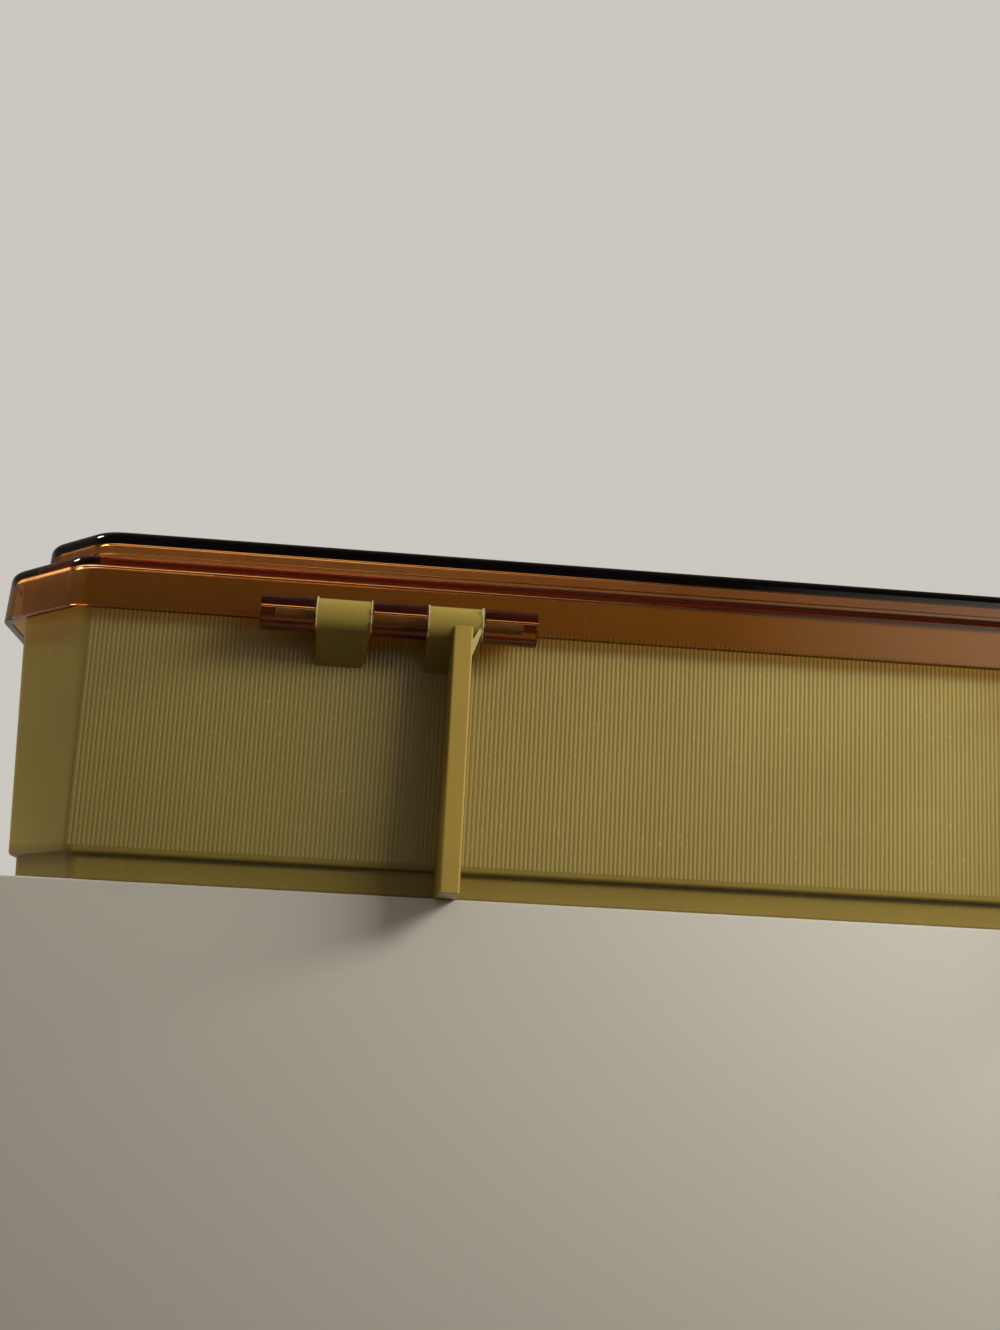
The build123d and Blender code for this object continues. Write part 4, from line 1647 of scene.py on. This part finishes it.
    def dividers(self, side: Side) -> None:
        """The four loose dividers of one tray.

        Args:
            side: Which tray.
        """
        foot = self.low + self.wall + self.plate_foot_gap
        top, radius = self.plate_top, self.notch_radius
        half_notch = math.degrees(math.acos((radius - self.notch) / radius))
        for lane in Lane:
            low, high = sorted(side.value * x for x in self.lane_spans()[lane.value])
            low, high = low + self.plate_side_gap, high - self.plate_side_gap
            centre = (low + high) / 2
            dip = arc((centre, top + radius - self.notch), radius, 270.0 + half_notch, 270.0 - half_notch, 16)
            right = rounded([(low, foot), (high, foot), (high, top), (low, top)], [1.0, 1.0, 2.5, 2.5], 4)
            cut = next(i for i, (x, z) in enumerate(right) if z > top - 0.01 and x < centre)
            outline = right[:cut] + dip + right[cut:]
            for step, place in ((-1, "front"), (1, "back")):
                y = step * self.slot_pitch
                node = f"divider_{side.word}_{lane.word}_{place}"
                solid = bar(outline, y - self.plate / 2, y + self.plate / 2, Run.ALONG_Y, 0.25)
                piece = make_piece(f"{node}_plate", [solid], self.finishes.divider)
                even_out(piece)
                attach(piece, node)
                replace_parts(piece, node)
                log.info("%s: %d faces", piece.name, len(piece.data.polygons))

    def build(self) -> None:
        """Build both trays and all dividers."""
        for side in Side:
            self.tray(side)
            self.dividers(side)


@dataclass
class Hardware:
    """Pins, latches and handle."""

    hinges: Sequence[Hinge]
    latches: Sequence[Latch]
    handle: Handle
    finishes: Finishes

    def place(self, node: str, solids: Iterable[Solid], finish: Material, body: str, slot: str) -> None:
        """Make a piece that stands for one node and ride it on its body.

        Args:
            node: The node it stands for.
            solids: Its closed solids.
            finish: Its material.
            body: The body it rides on.
            slot: The record's material slot; not used.
        """
        piece = make_piece(f"{node}_dressed", solids, finish)
        even_out(piece)
        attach(piece, body)
        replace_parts(piece, node)
        log.info("%s: %d faces", piece.name, len(piece.data.polygons))

    def build(self) -> None:
        """Build every loose fitting."""
        steel, olive = self.finishes.steel, self.finishes.olive
        for hinge in self.hinges:
            word = hinge.side.word
            self.place(f"hinge_pin_{word}", [hinge.pin(hinge.pin_radius)], steel, "lid", "pin_steel")
        for latch in self.latches:
            word = latch.side.word
            self.place(f"latch_{word}", latch.body(), olive, f"latch_{word}", "olive_plastic")
            self.place(f"latch_pin_{word}", [latch.pin()], steel, "lid", "pin_steel")
        self.place("carry_handle", self.handle.bail(), olive, "handle", "olive_plastic")
        for side in Side:
            self.place(f"handle_pin_{side.word}", [self.handle.pin(side)], steel, "tub", "pin_steel")


@dataclass(frozen=True)
class Lamp:
    """Soft rectangular lamp: where it hangs, what it points at and how large it is."""

    name: str
    place: Place
    aim: Place
    size: Point
    watts: float
    tone: Place
    mirrored: bool = False
    seen_through: bool = True

    def build(self) -> None:
        """Hang the lamp and turn it to its aim."""
        data = bpy.data.lights.new(self.name, "AREA")
        data.shape = "RECTANGLE"
        data.size, data.size_y = self.size[0] * MM, self.size[1] * MM
        data.energy = self.watts
        data.color = self.tone
        lamp = bpy.data.objects.new(self.name, data)
        lamp.location = Vector(self.place) * MM
        lamp.rotation_euler = (Vector(self.aim) - Vector(self.place)).to_track_quat("-Z", "Y").to_euler()
        lamp.visible_glossy = self.mirrored
        lamp.visible_transmission = self.seen_through
        bpy.context.scene.collection.objects.link(lamp)


@dataclass(frozen=True)
class Studio:
    """Board, backdrop, lamps and camera.

    A pair of numbers is the part of a direction, from -1 to 1 along X, Y or Z, over which a light
    fades in or out.
    """

    board: Place = (0.50, 0.485, 0.45)
    sky: Place = (0.60, 0.575, 0.53)
    glow: Place = (1.0, 0.92, 0.76)
    ambient_front: float = 0.62
    ambient_back: float = 0.36
    ambient_low: float = 0.06
    through_lid: float = 0.62
    mirror_wall: float = 0.30
    mirror_front: float = 0.12
    mirror_back: float = 0.04
    mirror_curtain: float = 1.25
    mirror_pane: float = 4.5
    around_depth: Point = (-0.25, 0.2)
    ground_height: Point = (-0.5, 0.12)
    room_depth: Point = (-0.6, 0.4)
    horizon: Point = (-0.1, 0.1)
    wall_height: Point = (0.30, 0.45)
    wall_depth: Point = (-0.90, -0.30)
    curtain_side: Point = (-0.24, -0.45)
    curtain_depth: Point = (0.05, 0.35)
    curtain_height: Point = (0.28, 0.36)
    tall_height: Point = (0.38, 0.46)
    tall_depth: Point = (0.66, 0.76)
    pane_side: Point = (-0.62, -0.85)
    pane_near: Point = (-0.40, -0.15)
    pane_far: Point = (0.36, 0.54)
    pane_height: Point = (0.14, 0.22)
    camera_place: Place = (97.01, 445.9, -25.85)
    camera_turn: Place = (103.603, -2.695, 174.530)
    focal_px: float = 1474.0
    frame_px: tuple[int, int] = (1000, 1330)
    sensor: float = 36.0
    board_back: float = 116.0
    board_reach: float = 1500.0
    board_deep: float = 260.0
    board_edge: float = 0.6
    clip: Point = (0.01, 20.0)

    def stand(self) -> None:
        """Thick pale board, its edge just under the back of the box."""
        outline = [(-self.board_reach, -self.board_reach), (self.board_reach, -self.board_reach),
                   (self.board_reach, self.board_back), (-self.board_reach, self.board_back)]
        solid = bar(outline, -self.board_deep, 0.0, Run.ALONG_Z, self.board_edge)
        make_piece("board", [solid], PaintedBoard("pale_board", self.board).build())

    def mirrored(self, bench: NodeBench, heading: bpy.types.bpy_prop_collection) -> Socket:
        """Brightness of the room as the plastic mirrors it: a dim room with a pale curtain and a window pane.

        Args:
            bench: The world's bench.
            heading: Sockets of the direction looked in.

        Returns:
            The brightness.
        """
        x, y, z = heading["X"], heading["Y"], heading["Z"]
        dim = bench.ramp(y, *self.room_depth, self.mirror_front, self.mirror_back)
        above = bench.ramp(z, *self.horizon, 0.0, 1.0)
        curtain = bench.math("MULTIPLY", bench.ramp(x, *self.curtain_side, 0.0, self.mirror_curtain),
                             bench.ramp(y, *self.curtain_depth, 0.0, 1.0))
        tall = bench.math("MULTIPLY", bench.ramp(z, *self.tall_height, 1.0, 0.0),
                          bench.ramp(y, *self.tall_depth, 0.0, 1.0))
        hang = bench.math("MAXIMUM", bench.ramp(z, *self.curtain_height, 1.0, 0.0), tall)
        drapes = bench.math("MULTIPLY", curtain, hang)
        beside = bench.math("MULTIPLY", bench.ramp(y, *self.pane_near, 0.0, 1.0),
                            bench.ramp(y, *self.pane_far, 1.0, 0.0))
        pane = bench.math("MULTIPLY", bench.ramp(x, *self.pane_side, 0.0, self.mirror_pane), beside)
        panes = bench.math("MULTIPLY", pane, bench.ramp(z, *self.pane_height, 1.0, 0.0))
        return bench.math("MULTIPLY_ADD", bench.math("ADD", drapes, panes), above, dim)

    def backdrop(self) -> None:
        """Pale surroundings, shown at full strength and lighting the box more gently."""
        world = bpy.data.worlds.new("pale_room")
        bpy.context.scene.world = world
        world.use_nodes = True
        bench = NodeBench(world.node_tree)
        path = bench.node("ShaderNodeLightPath").outputs
        direction = bench.node("ShaderNodeTexCoord").outputs["Generated"]
        heading = bench.node("ShaderNodeSeparateXYZ", {0: direction}).outputs
        glossy = bench.math("GREATER_THAN", path["Glossy Depth"], 0.5)
        level_ahead = bench.ramp(heading["Z"], *self.wall_height, self.mirror_wall, 0.0)
        wall_mirrored = bench.math("MULTIPLY", bench.math("MULTIPLY", glossy, level_ahead),
                                   bench.ramp(heading["Y"], *self.wall_depth, 1.0, 0.0))
        looked_through = bench.math("SUBTRACT", path["Is Transmission Ray"], glossy)
        unmirrored = bench.math("MAXIMUM", path["Is Camera Ray"], looked_through)
        direct = bench.math("LESS_THAN", path["Diffuse Depth"], 0.5)
        seen = bench.math("MULTIPLY", bench.math("MAXIMUM", unmirrored, wall_mirrored), direct)
        around = bench.ramp(heading["Y"], *self.around_depth, self.ambient_front, self.ambient_back)
        risen = bench.ramp(heading["Z"], *self.ground_height, self.ambient_low, 1.0)
        room = bench.math("MULTIPLY", around, risen)
        level = bench.node("ShaderNodeMix", {"Factor": glossy, 2: room, 3: self.mirrored(bench, heading)})
        glow_inputs = {"Color": (*self.glow, 1.0), "Strength": level.outputs[0]}
        glow = bench.node("ShaderNodeBackground", glow_inputs).outputs[0]
        full = bench.math("MAXIMUM", path["Is Camera Ray"], glossy)
        strength = bench.math("MAXIMUM", full, self.through_lid)
        sky = bench.node("ShaderNodeBackground", {"Color": (*self.sky, 1.0), "Strength": strength}).outputs[0]
        choice = bench.node("ShaderNodeMixShader", {0: seen, 1: glow, 2: sky}).outputs[0]
        bench.node("ShaderNodeOutputWorld", {"Surface": choice})

    def lamps(self) -> list[Lamp]:
        """The window behind the box, a soft lamp beside it and a wide one in front.

        Returns:
            The lamps.
        """
        return [
            Lamp("window", place=(-228.0, 304.0, 186.0), aim=(-60.0, 116.0, 40.0), size=(330.0, 80.0),
                 watts=1.70, tone=(1.0, 0.96, 0.88), seen_through=False),
            Lamp("side_soft", place=(620.0, 60.0, 480.0), aim=(180.0, 100.0, 40.0), size=(160.0, 160.0),
                 watts=1.5, tone=(1.0, 0.93, 0.80), mirrored=True),
            Lamp("front_soft", place=(420.0, -620.0, 1100.0), aim=(0.0, 0.0, 30.0), size=(1200.0, 900.0),
                 watts=9.5, tone=(0.93, 0.97, 1.0)),
        ]

    def camera(self) -> None:
        """Camera at the photograph's place and angle."""
        data = bpy.data.cameras.new("camera")
        data.sensor_fit = "AUTO"
        data.sensor_width = self.sensor
        data.lens = self.sensor * self.focal_px / max(self.frame_px)
        data.clip_start, data.clip_end = self.clip
        camera = bpy.data.objects.new("camera", data)
        camera.location = Vector(self.camera_place) * MM
        camera.rotation_euler = Euler([math.radians(angle) for angle in self.camera_turn], "XYZ")
        bpy.context.scene.collection.objects.link(camera)
        bpy.context.scene.camera = camera

    def build(self) -> None:
        """Build the whole studio."""
        self.stand()
        self.backdrop()
        for lamp in self.lamps():
            lamp.build()
        self.camera()
        bpy.context.scene.view_settings.view_transform = "Standard"


def main() -> None:
    """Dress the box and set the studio."""
    logging.basicConfig(level=logging.INFO, format="%(name)s %(message)s")
    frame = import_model()
    log.info("frame with %d nodes", len(frame["nodes"]))
    plan = BoxOutline()
    finishes = Finishes.build()
    hinges = [Hinge(side, plan) for side in Side]
    latches = [Latch(side, plan) for side in Side]
    handle = Handle(plan)
    Tub(plan, hinges, latches, handle, finishes).build()
    Lid(plan, hinges, latches, finishes).build()
    Trays(plan, finishes).build()
    Hardware(hinges, latches, handle, finishes).build()
    Studio().build()


if __name__ == "__main__":
    main()
